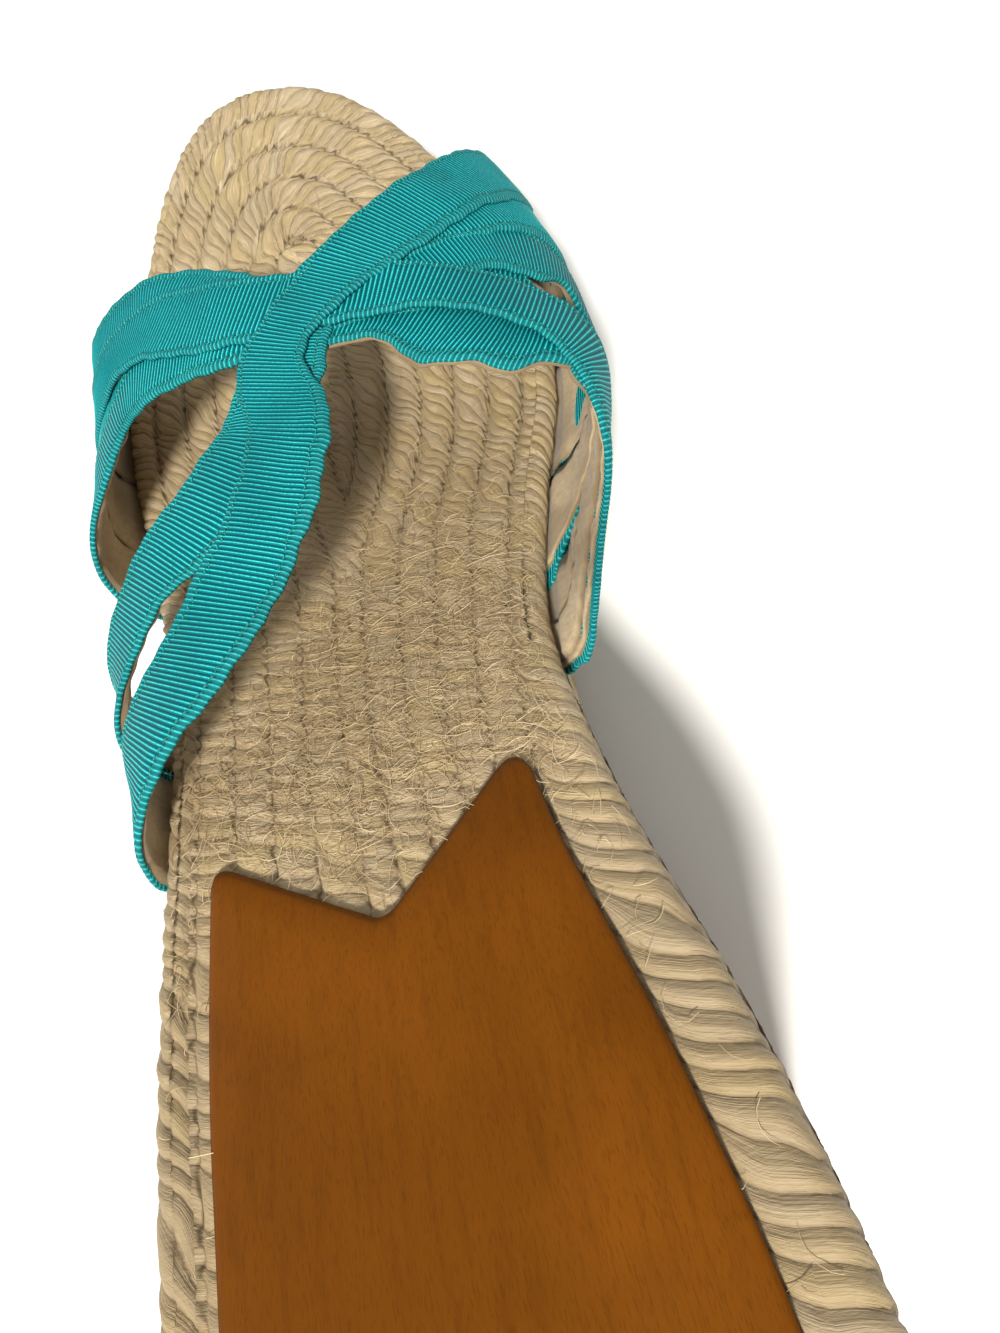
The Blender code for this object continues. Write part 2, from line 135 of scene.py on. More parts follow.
# Loose fibres
FIBRE_TRIES = 90000
FIBRE_COUNT = 3300
FIBRE_STEPS = 6
FIBRE_RADIUS = 0.048 * MM
FIBRE_REACH = 112 * MM
FIBRE_SEED = 7
FIBRE_SIDES = 3
FIBRE_GAP = 0.02 * MM
FIBRE_MARGIN = 1.2 * MM
FIBRE_END_LIMIT = 114 * MM

# A direction that no tube runs along
TUBE_ASIDE = (0.31, 0.17, 0.93)

# Heel sock and outsole
SOCK_CORNER_RADIUS = 2.6 * MM
SOCK_HEEL_ROUND = 26 * MM
SOCK_HEEL_INSET = 0.9 * MM
SOCK_SHEET = 0.9 * MM
SOCK_FRONT_BLUR = 1.6 * MM
SOCK_FRONT_SAMPLES = 9
SOCK_FRONT_ROUNDS = 12
SOCK_FRONT_GUESS = 0.37
OUTSOLE_ROUND = 1.2 * MM
TREAD_BAR_PITCH = 5 * MM
TREAD_BAR_DEPTH = 0.5 * MM

# Surface of the ribbons
RIBBON_LAYER_STEP = 0.5 * MM
RIBBON_SKIN = 0.8 * MM
LINING_SKIN = 0.9 * MM
RIB_PITCH = 0.69 * MM
RIB_RELIEF = 0.07 * MM
SEAM_INSET = 1.35 * MM
SEAM_DEPTH = 0.2 * MM
SEAM_WIDTH = 0.3 * MM
EDGE_ROLL = 0.45 * MM
EDGE_TREMOR = 0.11 * MM
TREMOR_WAVES = (9 * MM, 4.3 * MM)
SLACK_WAVES = ((31 * MM, 0.2 * MM), (14 * MM, 0.1 * MM))
SLACK_TWIST = 240
RIBBON_BACK_SINK = 0.1 * MM
RIBBON_SEED = 40
STEP_BLUR = 14
NORMAL_BLUR = 12
# Girths between which a ribbon takes its layer of the medial wall, and its edges begin to lift
WALL_GIRTHS = (98, 128)
FLUTTER_GIRTHS = (-3, 14)
# Distances of a ribbon's columns from its edge, in millimetres
RIBBON_COLUMNS = (0.0, 0.12, 0.45, 0.95, SEAM_INSET / MM, 1.8, 3.4)
STITCH_LENGTH = 0.95 * MM
STITCH_PITCH = 1.2 * MM
STITCH_RADIUS = 0.19 * MM
STITCH_SLANT = 0.16 * MM
STITCH_START = 8 * MM
STITCH_ARCH = 0.14 * MM
STITCH_SINK = 0.05 * MM
STITCH_STEPS = 4
STITCH_SIDES = 5

# The lining stops short of the ribbon's edges, apart from the front sweep's, where it shows behind
LINING_INSET = 0.55 * MM
LINING_REAR_INSETS = {"front_sweep": -0.4 * MM, "inner_band": 2.1 * MM, "middle_sweep": 2.1 * MM}
LINING_RIM_THINNED = 0.5 * MM
LINING_FOLD = 0.09 * MM
LINING_SINK = 0.15 * MM
LINING_SEED = 70
FOLD_WAVES = (11 * MM, 6.1 * MM, 3.7 * MM)
FOLD_SKEW = 17 * MM


def table(row_type, *rows):
    """Rows of a table whose columns have names."""
    return [row_type(*row) for row in rows]


def tables(row_type, **rows_of):
    """A table for each name."""
    return {name: table(row_type, *rows) for name, rows in rows_of.items()}


# Tables give a place along the shoe as a share of the footbed's length from the back of the heel.

# Half widths of the sole either side of its middle line, as shares of the ball width
SoleStation = namedtuple("SoleStation", "share medial lateral")
SOLE_PLAN = table(
    SoleStation,
    (0.06, 0.3, 0.295),
    (0.14, 0.368, 0.378),
    (0.25, 0.347, 0.397),
    (0.36, 0.29, 0.411),
    (0.46, 0.275, 0.421),
    (0.56, 0.347, 0.459),
    (0.66, 0.453, 0.5),
    (0.74, 0.494, 0.506),
    (0.82, 0.471, 0.459),
    (0.9, 0.382, 0.347),
    (0.96, 0.268, 0.23),
)

# Height of the footbed's top over the floor, as a share of the heel height
RiseStation = namedtuple("RiseStation", "share height")
FOOTBED_RISE = table(
    RiseStation,
    (0, 1.005),
    (0.12, 0.988),
    (0.25, 0.87),
    (0.4, 0.645),
    (0.55, 0.406),
    (0.66, 0.281),
    (0.74, 0.25),
    (0.85, 0.262),
    (0.93, 0.302),
    (1, 0.366),
)

# Sections of the last under the ribbons: the crown over the footbed as a share of the instep
# height, how far each side stands past the edge of the sole, and how far each shoulder is
# drawn in half way up, in millimetres
LastSection = namedtuple("LastSection", "share crown medial lateral medial_shoulder lateral_shoulder")
LAST_SECTIONS = table(
    LastSection,
    (0.34, 0.33, 1, 0, 0, 0),
    (0.42, 0.5, 2.2, 0.1, 0, 0),
    (0.5, 0.7, 6.2, 0.9, 0, 0),
    (0.56, 0.87, 7.8, 1, 0, 0),
    (0.62, 0.97, 7, 2.2, 0, 0.6),
    (0.68, 1, 4.4, 1.2, 0.3, 2),
    (0.74, 1, 2.2, 0.4, 0.8, 3),
    (0.82, 0.9, 0.9, 0.9, 2.4, 1.4),
    (0.92, 0.7, 0.3, 0.3, 2.4, 1),
)

# The ribbons, with their layer from the foot outwards over the crown and on the medial wall, and
# the knots their middle lines pass. A foot's number is how many times the ribbon's width it
# spreads. A knot's girth runs in degrees from 0 at the lateral edge of the sole over the crown
# at 90 to 180 at the medial edge.
Ribbon = namedtuple("Ribbon", "name layer wall_layer lateral_foot medial_foot knots")
Knot = namedtuple("Knot", "share girth")
RIBBONS = [
    Ribbon("front_sweep", 0, 1, 1.1, 1, table(
        Knot,
        (0.805, 0), (0.785, 30), (0.76, 59), (0.72, 76), (0.69, 89), (0.66, 106), (0.632, 120),
        (0.631, 133), (0.63, 145), (0.61, 155), (0.553, 165), (0.455, 180),
    )),
    Ribbon("inner_band", 1, 0, 1.8, 2.2, table(
        Knot,
        (0.686, 0), (0.718, 50), (0.706, 70), (0.687, 88), (0.683, 108), (0.671, 125), (0.642, 141),
        (0.592, 160), (0.542, 180),
    )),
    Ribbon("rear_band", 2, 2, 1.4, 1.8, table(
        Knot,
        (0.628, 0), (0.671, 36), (0.702, 54), (0.701, 70), (0.686, 86), (0.692, 105), (0.707, 128),
        (0.69, 150), (0.638, 180),
    )),
    Ribbon("inner_diagonal", 3, 3, 1, 1.2, table(
        Knot,
        (0.482, 0), (0.498, 26), (0.521, 43), (0.545, 58), (0.565, 73), (0.598, 84), (0.638, 89),
        (0.683, 95), (0.707, 104), (0.728, 122), (0.756, 150), (0.772, 180),
    )),
    Ribbon("middle_sweep", 4, 4, 1.2, 1.6, table(
        Knot,
        (0.748, 0), (0.744, 30), (0.732, 58), (0.707, 74), (0.687, 90), (0.671, 110), (0.65, 125),
        (0.624, 140), (0.566, 158), (0.453, 180),
    )),
    Ribbon("top_diagonal", 5, 5, 1.3, 1.2, table(
        Knot,
        (0.415, 0), (0.431, 25), (0.459, 52), (0.508, 78), (0.581, 88), (0.65, 89), (0.695, 99),
        (0.728, 112), (0.762, 128), (0.798, 150), (0.827, 180),
    )),
]

# How the slack edges of the ribbons wander: a place along the ribbon as a share of its length,
# how far the edge is drawn in and how far it is lifted off the foot, both in millimetres
EdgeStop = namedtuple("EdgeStop", "share drawn lifted", defaults=[0.0])
REAR_EDGES = tables(
    EdgeStop,
    front_sweep=(
        (0.34, 0), (0.43, 0.3, 0.2), (0.475, 0.2, 0.7), (0.508, 0.8, 1), (0.552, -0.8), (0.582, 0, 0.4),
        (0.61, -1.9, -0.1), (0.64, -1, 0.5), (0.675, -1.6, 0.4), (0.72, -1), (0.78, 0.4, 0.3),
        (0.83, -0.5), (0.89, 0), (0.95, 2), (1, 3),
    ),
    inner_band=(
        (0.78, 0), (0.84, 2.5), (0.9, 5), (0.94, 4.5), (0.98, 1.5), (1, 0.8),
    ),
    rear_band=(
        (0.76, 0), (0.785, 0.8), (0.805, 3.6), (0.825, 3.4), (0.845, 0), (0.865, -3), (0.9, -3.5),
        (0.95, -1.5), (1, 0),
    ),
    inner_diagonal=(
        (0, 0, 0.5), (0.04, 0.4, 1), (0.09, 1.4, 1.5), (0.12, 1.8, 1.2), (0.155, 2, 0.5), (0.2, 2.2, 0.1),
        (0.26, 1.2), (0.34, 0), (0.82, 0), (0.88, -2), (0.93, -3.6), (1, -4),
    ),
    middle_sweep=(
        (0.08, 0), (0.16, 1.6), (0.28, 2, 0.1), (0.4, 1), (0.48, 1), (0.55, 1.9, 0.1), (0.64, 1.6),
        (0.74, 1.6), (0.82, 0.6), (0.89, 0), (0.95, 2.2), (1, 3.6),
    ),
    top_diagonal=(
        (0, 0), (0.05, 0.8), (0.11, 1.6), (0.18, 0.6), (0.3, 0), (0.38, -0.2, 0.2), (0.44, 0.4),
        (0.49, 1.7, 0.2), (0.53, 1.3, 0.3), (0.6, 0.6, 0.1), (0.68, 0),
    ),
)
FRONT_EDGES = tables(
    EdgeStop,
    front_sweep=(
        (0.76, 0), (0.84, 1.5), (0.9, 1.6), (0.94, 1.2), (0.97, 1.6), (1, 1.6),
    ),
    inner_band=(
        (0.66, 0), (0.69, 0.2), (0.715, 3.4), (0.745, 3.4), (0.77, 0.6), (0.8, 0),
    ),
    rear_band=(
        (0.86, 0), (0.91, -2.2), (1, -3),
    ),
    inner_diagonal=(
        (0, 0, 0.5), (0.04, 0, 1), (0.09, 0, 1.5), (0.12, 0, 1.3), (0.155, 0, 0.6), (0.2, 0, 0.1),
        (0.26, 0),
    ),
    middle_sweep=(
        (0.46, 0), (0.54, 1.4), (0.62, 1.7), (0.72, 1.2), (0.8, 0), (0.85, -4), (0.9, -7), (1, -5.5),
    ),
    top_diagonal=(
        (0, -3), (0.06, -3), (0.1, -0.6), (0.14, 0), (0.2, 0), (0.26, -0.5, 0.3), (0.33, 0.8),
        (0.39, 2.3), (0.44, 2.5), (0.49, 1.6, 0.1), (0.54, 1.2, 0.1), (0.6, 1.5), (0.7, 1.8), (0.8, 1.8),
        (0.9, 0.9), (1, 0),
    ),
)

# How far the ribs lean from square across a ribbon, as a slope, at shares along it. A positive
# slope takes the front edge ahead.
RibSlant = namedtuple("RibSlant", "share slope")
RIB_SLANTS = tables(
    RibSlant,
    front_sweep=(
        (0.5, 0), (0.54, 0.05), (0.56, 0.15), (0.585, 0.4), (0.61, 0.55), (0.66, 0.3), (0.72, 0),
    ),
    inner_diagonal=(
        (0.1, 0), (0.16, -0.04), (0.2, -0.13), (0.24, -0.22), (0.275, -0.22), (0.305, -0.1),
        (0.335, 0.02), (0.4, 0),
    ),
    middle_sweep=(
        (0.12, 0), (0.25, 0.15), (0.31, 0.06), (0.38, 0.04), (0.5, 0.18), (0.6, 0.1), (0.66, -0.1),
        (0.74, 0),
    ),
    top_diagonal=(
        (0.06, 0), (0.11, -0.06), (0.17, -0.27), (0.226, -0.25), (0.284, 0.05), (0.326, 0.25),
        (0.37, 0.42), (0.41, 0.6), (0.45, 0.62), (0.488, 0.42), (0.53, 0.02), (0.577, -0.06),
        (0.611, -0.18), (0.645, -0.17), (0.69, 0), (0.74, 0.1), (0.8, 0),
    ),
)

# Front edge of the heel sock from its lateral corner to its medial peak. The place across is
# from the sole's middle line, as a share of the ball width.
SockCorner = namedtuple("SockCorner", "share across")
SOCK_FRONT = table(SockCorner, (0.386, -0.312), (0.33, -0.057), (0.388, 0.152))

# Camera of the photograph, fitted to the shoe: metres and degrees, focal length in pixels
PHOTO_SIZE = (1000, 1333)
CAMERA_PLACE = (25.8 * MM, -48.1 * MM, 158.9 * MM)
CAMERA_YAW = -17.4
CAMERA_PITCH = 72.5
CAMERA_ROLL = -37.0
CAMERA_FOCAL = 879.0
SENSOR_WIDTH = 36.0
CLIP_START = 2 * MM

# Floor and light
FLOOR_HALF = 3.0
FLOOR_LEVEL = -0.3 * MM
WORLD_STRENGTH = 0.42


# Curves and vectors


def column(rows, field):
    """One named column of a table."""
    return np.array([getattr(row, field) for row in rows], float)


def smooth(x, xs, ys):
    """Cubic curve through the points (xs, ys), read at x."""
    xs, ys = np.asarray(xs, float), np.asarray(ys, float)
    gaps = np.diff(xs)
    slopes = np.diff(ys) / gaps
    inner = (slopes[:-1] * gaps[1:] + slopes[1:] * gaps[:-1]) / (gaps[1:] + gaps[:-1])
    tangents = np.concatenate([slopes[:1], inner, slopes[-1:]])
    x = np.clip(x, xs[0], xs[-1])
    i = np.clip(np.searchsorted(xs, x) - 1, 0, len(xs) - 2)
    u = (x - xs[i]) / gaps[i]
    return (
        (2 * u**3 - 3 * u**2 + 1) * ys[i]
        + (u**3 - 2 * u**2 + u) * gaps[i] * tangents[i]
        + (3 * u**2 - 2 * u**3) * ys[i + 1]
        + (u**3 - u**2) * gaps[i] * tangents[i + 1]
    )


def curve(rows, field, share):
    """Smooth curve through a column of a table, read at a share."""
    return smooth(share, column(rows, "share"), column(rows, field))


def ease(x, low, high):
    """0 below low, 1 above high, and a soft step between."""
    u = np.clip((x - low) / (high - low), 0, 1)
    return u * u * (3 - 2 * u)


def unit(vectors):
    """The vectors at length 1."""
    return vectors / np.linalg.norm(vectors, axis=-1, keepdims=True)


def running(hops):
    """Distance of each point from the first, from the hops between them."""
    return np.concatenate([[0], np.cumsum(hops)])


def soften(values, width):
    """Running average along a line of values, with held ends."""
    kernel = np.hanning(2 * width + 3)[1:-1]
    kernel /= kernel.sum()
    padded = np.concatenate([np.repeat(values[:1], width, 0), values, np.repeat(values[-1:], width, 0)])
    return np.convolve(padded, kernel, mode="valid")


# Shape of the shoe


def place(share):
    """Y of a share of the footbed's length."""
    return (np.asarray(share, float) - 0.5) * FOOTBED_LENGTH


def share_of(y):
    """Share of the footbed's length at y."""
    return np.clip(np.asarray(y, float) / FOOTBED_LENGTH + 0.5, 0.0, 1.0)


def half_widths(y):
    """Medial and lateral half widths of the sole at y. Both ends close as round arcs."""
    turn = np.arccos(1 - 2 * share_of(y))
    stops = np.concatenate([[0], np.arccos(1 - 2 * column(SOLE_PLAN, "share")), [math.pi]])
    widths = []
    for side in ("medial", "lateral"):
        shares = np.concatenate([[0], column(SOLE_PLAN, side), [0]])
        widths.append(BALL_WIDTH * smooth(turn, stops, shares))
    return widths


def footbed_top(y):
    """Height of the footbed's top at y."""
    return HEEL_HEIGHT * curve(FOOTBED_RISE, "height", share_of(y))


def floor_rise(y):
    """Height of the outsole's underside at y: flat, then rising to the toe."""
    past = (share_of(y) - SPRING_START_SHARE) / (1 - SPRING_START_SHARE)
    return TOE_SPRING * np.clip(past, 0, 1) ** 2


def sole_outline(half):
    """Closed outline in plan of 2 * half points, about evenly apart: heel, medial side, toe, lateral side."""
    turn = np.linspace(0, math.pi, OUTLINE_SAMPLES)
    y = -0.5 * FOOTBED_LENGTH * np.cos(turn)
    medial, lateral = half_widths(y)
    travel = running(np.hypot(np.diff(medial), np.diff(y)) + np.hypot(np.diff(lateral), np.diff(y)))
    turn = np.interp(np.linspace(0, travel[-1], half + 1), travel, turn)
    y = -0.5 * FOOTBED_LENGTH * np.cos(turn)
    medial, lateral = half_widths(y)
    right = np.stack([medial, y], 1)
    left = np.stack([-lateral, y], 1)
    return np.concatenate([right, left[-2:0:-1]])


def spaced_outline(spacing):
    """The sole's outline with its points about this far apart."""
    perimeter = np.linalg.norm(np.diff(sole_outline(PERIMETER_HALF_POINTS), axis=0), axis=1).sum()
    return sole_outline(round(perimeter / spacing / 2))


def inwards_of(outline):
    """Unit normals of an outline, pointing in."""
    along = unit(np.roll(outline, -1, 0) - np.roll(outline, 1, 0))
    return np.stack([-along[:, 1], along[:, 0]], 1)


def spine_points(outline):
    """For each outline point, the point of the coil's middle line that it faces."""
    low = -FOOTBED_LENGTH / 2 + SPINE_HEEL_INSET
    high = FOOTBED_LENGTH / 2 - SPINE_TOE_INSET
    y = np.clip(outline[:, 1], low, high)
    medial, lateral = half_widths(y)
    return np.stack([(medial - lateral) / 2, y], 1)


def last_point(y, girth):
    """A point of the last. Girth runs from 0 at the lateral sole edge over the crown at 90 to
    180 at the medial edge, and a little past both ends it goes down and in under the footbed."""
    share = share_of(y)
    is_lateral = girth < 90

    def section(field):
        return curve(LAST_SECTIONS, field, share)

    base = footbed_top(y) - FOOTBED_THICKNESS / 2
    crown = INSTEP_HEIGHT * section("crown") + FOOTBED_THICKNESS / 2
    medial, lateral = (width + LAST_CLEARANCE for width in half_widths(y))
    middle = (medial - lateral) / 2
    half = (medial + lateral) / 2
    side = np.where(is_lateral, -1.0, 1.0)
    overhang = MM * np.where(is_lateral, section("lateral"), section("medial"))
    shoulder = MM * np.where(is_lateral, section("lateral_shoulder"), section("medial_shoulder"))
    up = np.minimum(girth, 180 - girth)
    below = np.clip(-up / FOOT_GIRTH, 0, 1)
    start = np.arccos(half / (half + overhang))
    angle = -start + (math.pi / 2 + start) * np.clip(up, 0, 90) / 90
    rise = crown / (1 + np.sin(start))
    lean = CROWN_LEAN * np.clip(np.sin(angle), 0, 1) ** 2
    reach = (half + overhang) * np.cos(angle) - shoulder * np.sin(2 * np.clip(angle, 0, math.pi / 2))
    x = middle + side * reach + lean - side * FOOT_TUCK * below**2
    z = base + rise * (np.sin(angle) + np.sin(start)) - FOOT_DROP * below
    return np.stack([x, np.broadcast_to(y, np.shape(x)), z], -1)


def last_frame(y, girth):
    """The last's point, its outward normal, and its slopes along y and along the girth."""
    dy, dg = 0.2 * MM, 0.2
    along = (last_point(y + dy, girth) - last_point(y - dy, girth)) / (2 * dy)
    around = (last_point(y, girth + dg) - last_point(y, girth - dg)) / (2 * dg)
    return last_point(y, girth), unit(np.cross(around, along)), along, around


# Meshes


def frame_shift():
    """From the shoe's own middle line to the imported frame, read from the wedge's box."""
    low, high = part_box("wedge")
    outline = sole_outline(BOX_HALF_POINTS)
    middle = (outline.min(0) + outline.max(0)) / 2
    return np.array([(low[0] + high[0]) / 2 - middle[0], (low[1] + high[1]) / 2 - middle[1], 0.0])


SHIFT = frame_shift()


def add_mesh(name, points, quads, material, loop_uv=None, uv_name="UVMap", merge=0.0, values=None):
    """A smooth-shaded mesh object from arrays of points and four-cornered faces.

    loop_uv holds a pair for every face corner, and values maps an attribute's name to one number a point.
    """
    mesh = bpy.data.meshes.new(name)
    quads = np.asarray(quads, np.int32)
    mesh.vertices.add(len(points))
    mesh.vertices.foreach_set("co", (np.asarray(points) + SHIFT).astype(np.float32).ravel())
    mesh.loops.add(quads.size)
    mesh.loops.foreach_set("vertex_index", quads.ravel())
    mesh.polygons.add(len(quads))
    mesh.polygons.foreach_set("loop_start", np.arange(0, quads.size, 4, dtype=np.int32))
    if loop_uv is not None:
        layer = mesh.uv_layers.new(name=uv_name)
        layer.data.foreach_set("uv", np.asarray(loop_uv, np.float32).ravel())
    for key, data in (values or {}).items():
        attribute = mesh.attributes.new(key, "FLOAT", "POINT")
        attribute.data.foreach_set("value", np.asarray(data, np.float32).ravel())
    mesh.update(calc_edges=True)
    work = bmesh.new()
    work.from_mesh(mesh)
    if merge:
        bmesh.ops.remove_doubles(work, verts=work.verts, dist=merge)
    bmesh.ops.recalc_face_normals(work, faces=work.faces)
    work.to_mesh(mesh)
    work.free()
    mesh.shade_smooth()
    mesh.materials.append(material)
    piece = bpy.data.objects.new(name, mesh)
    bpy.context.scene.collection.objects.link(piece)
    return piece


def finish_piece(piece, slot, *nodes):
    """Puts a finished piece on the shoe's one body and hides the solids it stands for; the finish it is given
    is not used.
    """
    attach(piece, "root")
    if nodes:
        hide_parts(*nodes)


def grid_quads(rows, columns, wrap_columns=False, start=0):
    """Faces of a grid of points, row by row, with the last column joined to the first if asked."""
    across = columns if wrap_columns else columns - 1
    r, c = np.meshgrid(np.arange(rows - 1), np.arange(across), indexing="ij")
    d = (c + 1) % columns
    corners = [r * columns + c, r * columns + d, (r + 1) * columns + d, (r + 1) * columns + c]
    return start + np.stack(corners, -1).reshape(-1, 4)


def add_rings(name, rings, material, pairs=None, values=None):
    """A mesh object of closed rings of points, each joined to the next."""
    quads = grid_quads(len(rings), len(rings[0]), wrap_columns=True)
    points = np.concatenate(rings)
    loop_uv = None if pairs is None else np.concatenate(pairs)
    return add_mesh(name, points, quads, material, loop_uv, "strand", MERGE_DISTANCE, values)


def wall_quads(top, low):
    """Faces between two open lines of point numbers."""
    return np.stack([top[:-1], top[1:], low[1:], low[:-1]], -1)


def strip(rows, columns, start=0):
    """Faces of a closed strip between two equal grids that follow each other."""
    number = rows * columns
    rim = np.concatenate([
        np.arange(columns),
        np.arange(1, rows) * columns + columns - 1,
        (rows - 1) * columns + np.arange(columns - 2, -1, -1),
        np.arange(rows - 2, 0, -1) * columns,
    ])
    walls = np.stack([rim, np.roll(rim, -1), np.roll(rim, -1) + number, rim + number], -1)
    return start + np.concatenate([grid_quads(rows, columns), grid_quads(rows, columns, start=number), walls])


# Node materials


class Nodes:
    """Short calls for building a node material."""

    def __init__(self, name):
        """Starts a material that has its shader alone."""
        self.material = bpy.data.materials.new(name)
        self.material.use_nodes = True
        self.tree = self.material.node_tree
        self.shader = self.tree.nodes["Principled BSDF"]

    def put(self, socket, value):
        """Links a socket to an output, or sets it to a plain value."""
        if isinstance(value, bpy.types.NodeSocket):
            self.tree.links.new(value, socket)
        else:
            socket.default_value = value

    def add(self, kind, inputs=None, output=0, **settings):
        """One output of a new node."""
        node = self.tree.nodes.new("ShaderNode" + kind)
        for key, value in settings.items():
            setattr(node, key, value)
        for key, value in (inputs or {}).items():
            self.put(node.inputs[key], value)
        return node.outputs[output]

    def math(self, operation, a, b=0.0, c=0.0):
        """An operation on up to three values."""
        return self.add("Math", {0: a, 1: b, 2: c}, operation=operation)

    def times(self, a, b):
        """The product of two values."""
        return self.math("MULTIPLY", a, b)

    def plus(self, a, b):
        """Two values added up."""
        return self.math("ADD", a, b)

    def wave(self, function, value, turns=1):
        """A sine or cosine with this many turns for each whole number."""
        return self.math(function, self.times(value, TURN * turns))

    def edge(self, value):
        """1 at whole numbers, falling to 0 half way between them."""
        return self.math("ABSOLUTE", self.math("SUBTRACT", self.times(self.math("FRACT", value), 2.0), 1.0))

    def step(self, value, low, high, out_low=0.0, out_high=1.0):
        """A soft step from out_low at low to out_high at high."""
        inputs = {"Value": value, "From Min": low, "From Max": high, "To Min": out_low, "To Max": out_high}
        return self.add("MapRange", inputs, interpolation_type="SMOOTHSTEP")

    def mix(self, share, a, b):
        """Colour a with a share of colour b."""
        return self.add("Mix", {0: share, 6: a, 7: b}, output=2, data_type="RGBA")

    def tint(self, base, mask, share, shade):
        """The base with a share of a shade where the mask is 1."""
        return self.mix(self.times(mask, share), base, shade)

    def vector(self, x, y, z=0.0):
        """A vector from its three parts."""
        return self.add("CombineXYZ", {"X": x, "Y": y, "Z": z})

    def noise(self, vector, scale, detail=3.0, roughness=0.55):
        """Noise at a place."""
        inputs = {"Vector": vector, "Scale": scale, "Detail": detail, "Roughness": roughness}
        return self.add("TexNoise", inputs)

    def pair_noise(self, pair, scales, level=0.0, detail=2.0, roughness=0.55):
        """Noise over a pair of coordinates, with a scale for each. Levels have nothing in common."""
        u, v = (self.times(value, scale) for value, scale in zip(pair, scales))
        return self.noise(self.vector(u, v, level), 1.0, detail, roughness)

    def uv(self, name):
        """Both parts of a named pair of coordinates."""
        first = self.add("SeparateXYZ", {0: self.add("UVMap", uv_map=name)})
        return first, first.node.outputs[1]

    def attribute(self, name):
        """A number stored on the mesh."""
        return self.add("Attribute", output=2, attribute_name=name)

    def place(self):
        """The place on the piece, in metres."""
        return self.add("TexCoord", output="Object")

    def bump(self, height, distance, strength=1.0):
        """Fine relief on the shader."""
        inputs = {"Height": height, "Distance": distance, "Strength": strength}
        self.put(self.shader.inputs["Normal"], self.add("Bump", inputs))

    def set(self, **inputs):
        """Sets the shader's inputs and gives the finished material."""
        for key, value in inputs.items():
            self.put(self.shader.inputs[key.replace("_", " ")], value)
        return self.material


def colour(red, green, blue):
    """A shader colour from the 0 to 255 values seen on a screen."""
    def linear(value):
        share = value / 255
        return share / 12.92 if share <= 0.04045 else ((share + 0.055) / 1.055) ** 2.4

    return (linear(red), linear(green), linear(blue), 1.0)


def jute_colour(n, pair, worn, noises, light, mid, dark):
    """Colour of twisted jute: each strand its own shade, painted highlights on fine fibres, broken creases
    darkened with painted shade, and greyer where it is worn.
    """
    along, row = pair
    along_shoe, calm = noises["along_shoe"], noises["calm"]
    own_place = n.vector(n.math("FLOOR", along), n.math("FLOOR", row))
    own = n.add("TexWhiteNoise", {"Vector": own_place}, noise_dimensions="2D")
    jags = n.pair_noise((along, n.math("FLOOR", n.plus(row, 0.5))), (2.3, 1.0), 6.0)
    zigzag = n.plus(n.times(n.wave("SINE", along), 0.05), n.math("MULTIPLY_ADD", jags, 0.2, -0.1))
    seam = n.edge(n.plus(row, zigzag))
    breaks = n.pair_noise(pair, (0.55, 3.0), 9.0)
    patches = n.noise(n.place(), 48.0)
    base = n.mix(n.step(noises["fibres"], 0.3, 0.7), mid, light)
    base = n.tint(base, n.step(noises["tufts"], 0.5, 0.75), 0.45, n.mix(0.4, mid, dark))
    base = n.tint(base, n.step(own, 0.5, 1.0), 0.4, colour(194, 172, 112))
    base = n.tint(base, n.step(own, 0.5, 0.0), 0.4, colour(200, 184, 156))
    # Painted highlight: light fine streaks stand for glints on the fibres, weaker towards the heel
    base = n.tint(base, n.times(n.step(noises["fine"], 0.54, 0.68), calm), 0.6, colour(244, 228, 194))
    base = n.tint(base, n.times(n.step(noises["fine"], 0.44, 0.32), calm), 0.45, n.mix(0.45, mid, dark))
    base = n.tint(base, n.step(patches, 0.4, 0.7), 0.4, mid)
    base = n.mix(n.step(along_shoe, -10 * MM, -60 * MM, 0.0, 0.55), base, colour(132, 112, 80))
    # Painted shade: the creases between strands and the seams between rows are darkened
    strand_crease_shade = n.times(n.step(noises["side"], 0.74, 1.0), n.step(breaks, 0.3, 0.65, 0.18, 0.5))
    between = n.times(n.step(seam, 0.86, 0.99), n.step(breaks, 0.35, 0.62, 0.25, 0.9))
    base = n.mix(n.math("MAXIMUM", strand_crease_shade, between), base, dark)
    rubbed = n.times(worn, n.step(noises["felt"], 0.5, 0.7, 0.55, 0.0))
    return n.mix(rubbed, base, n.mix(0.42, mid, dark))


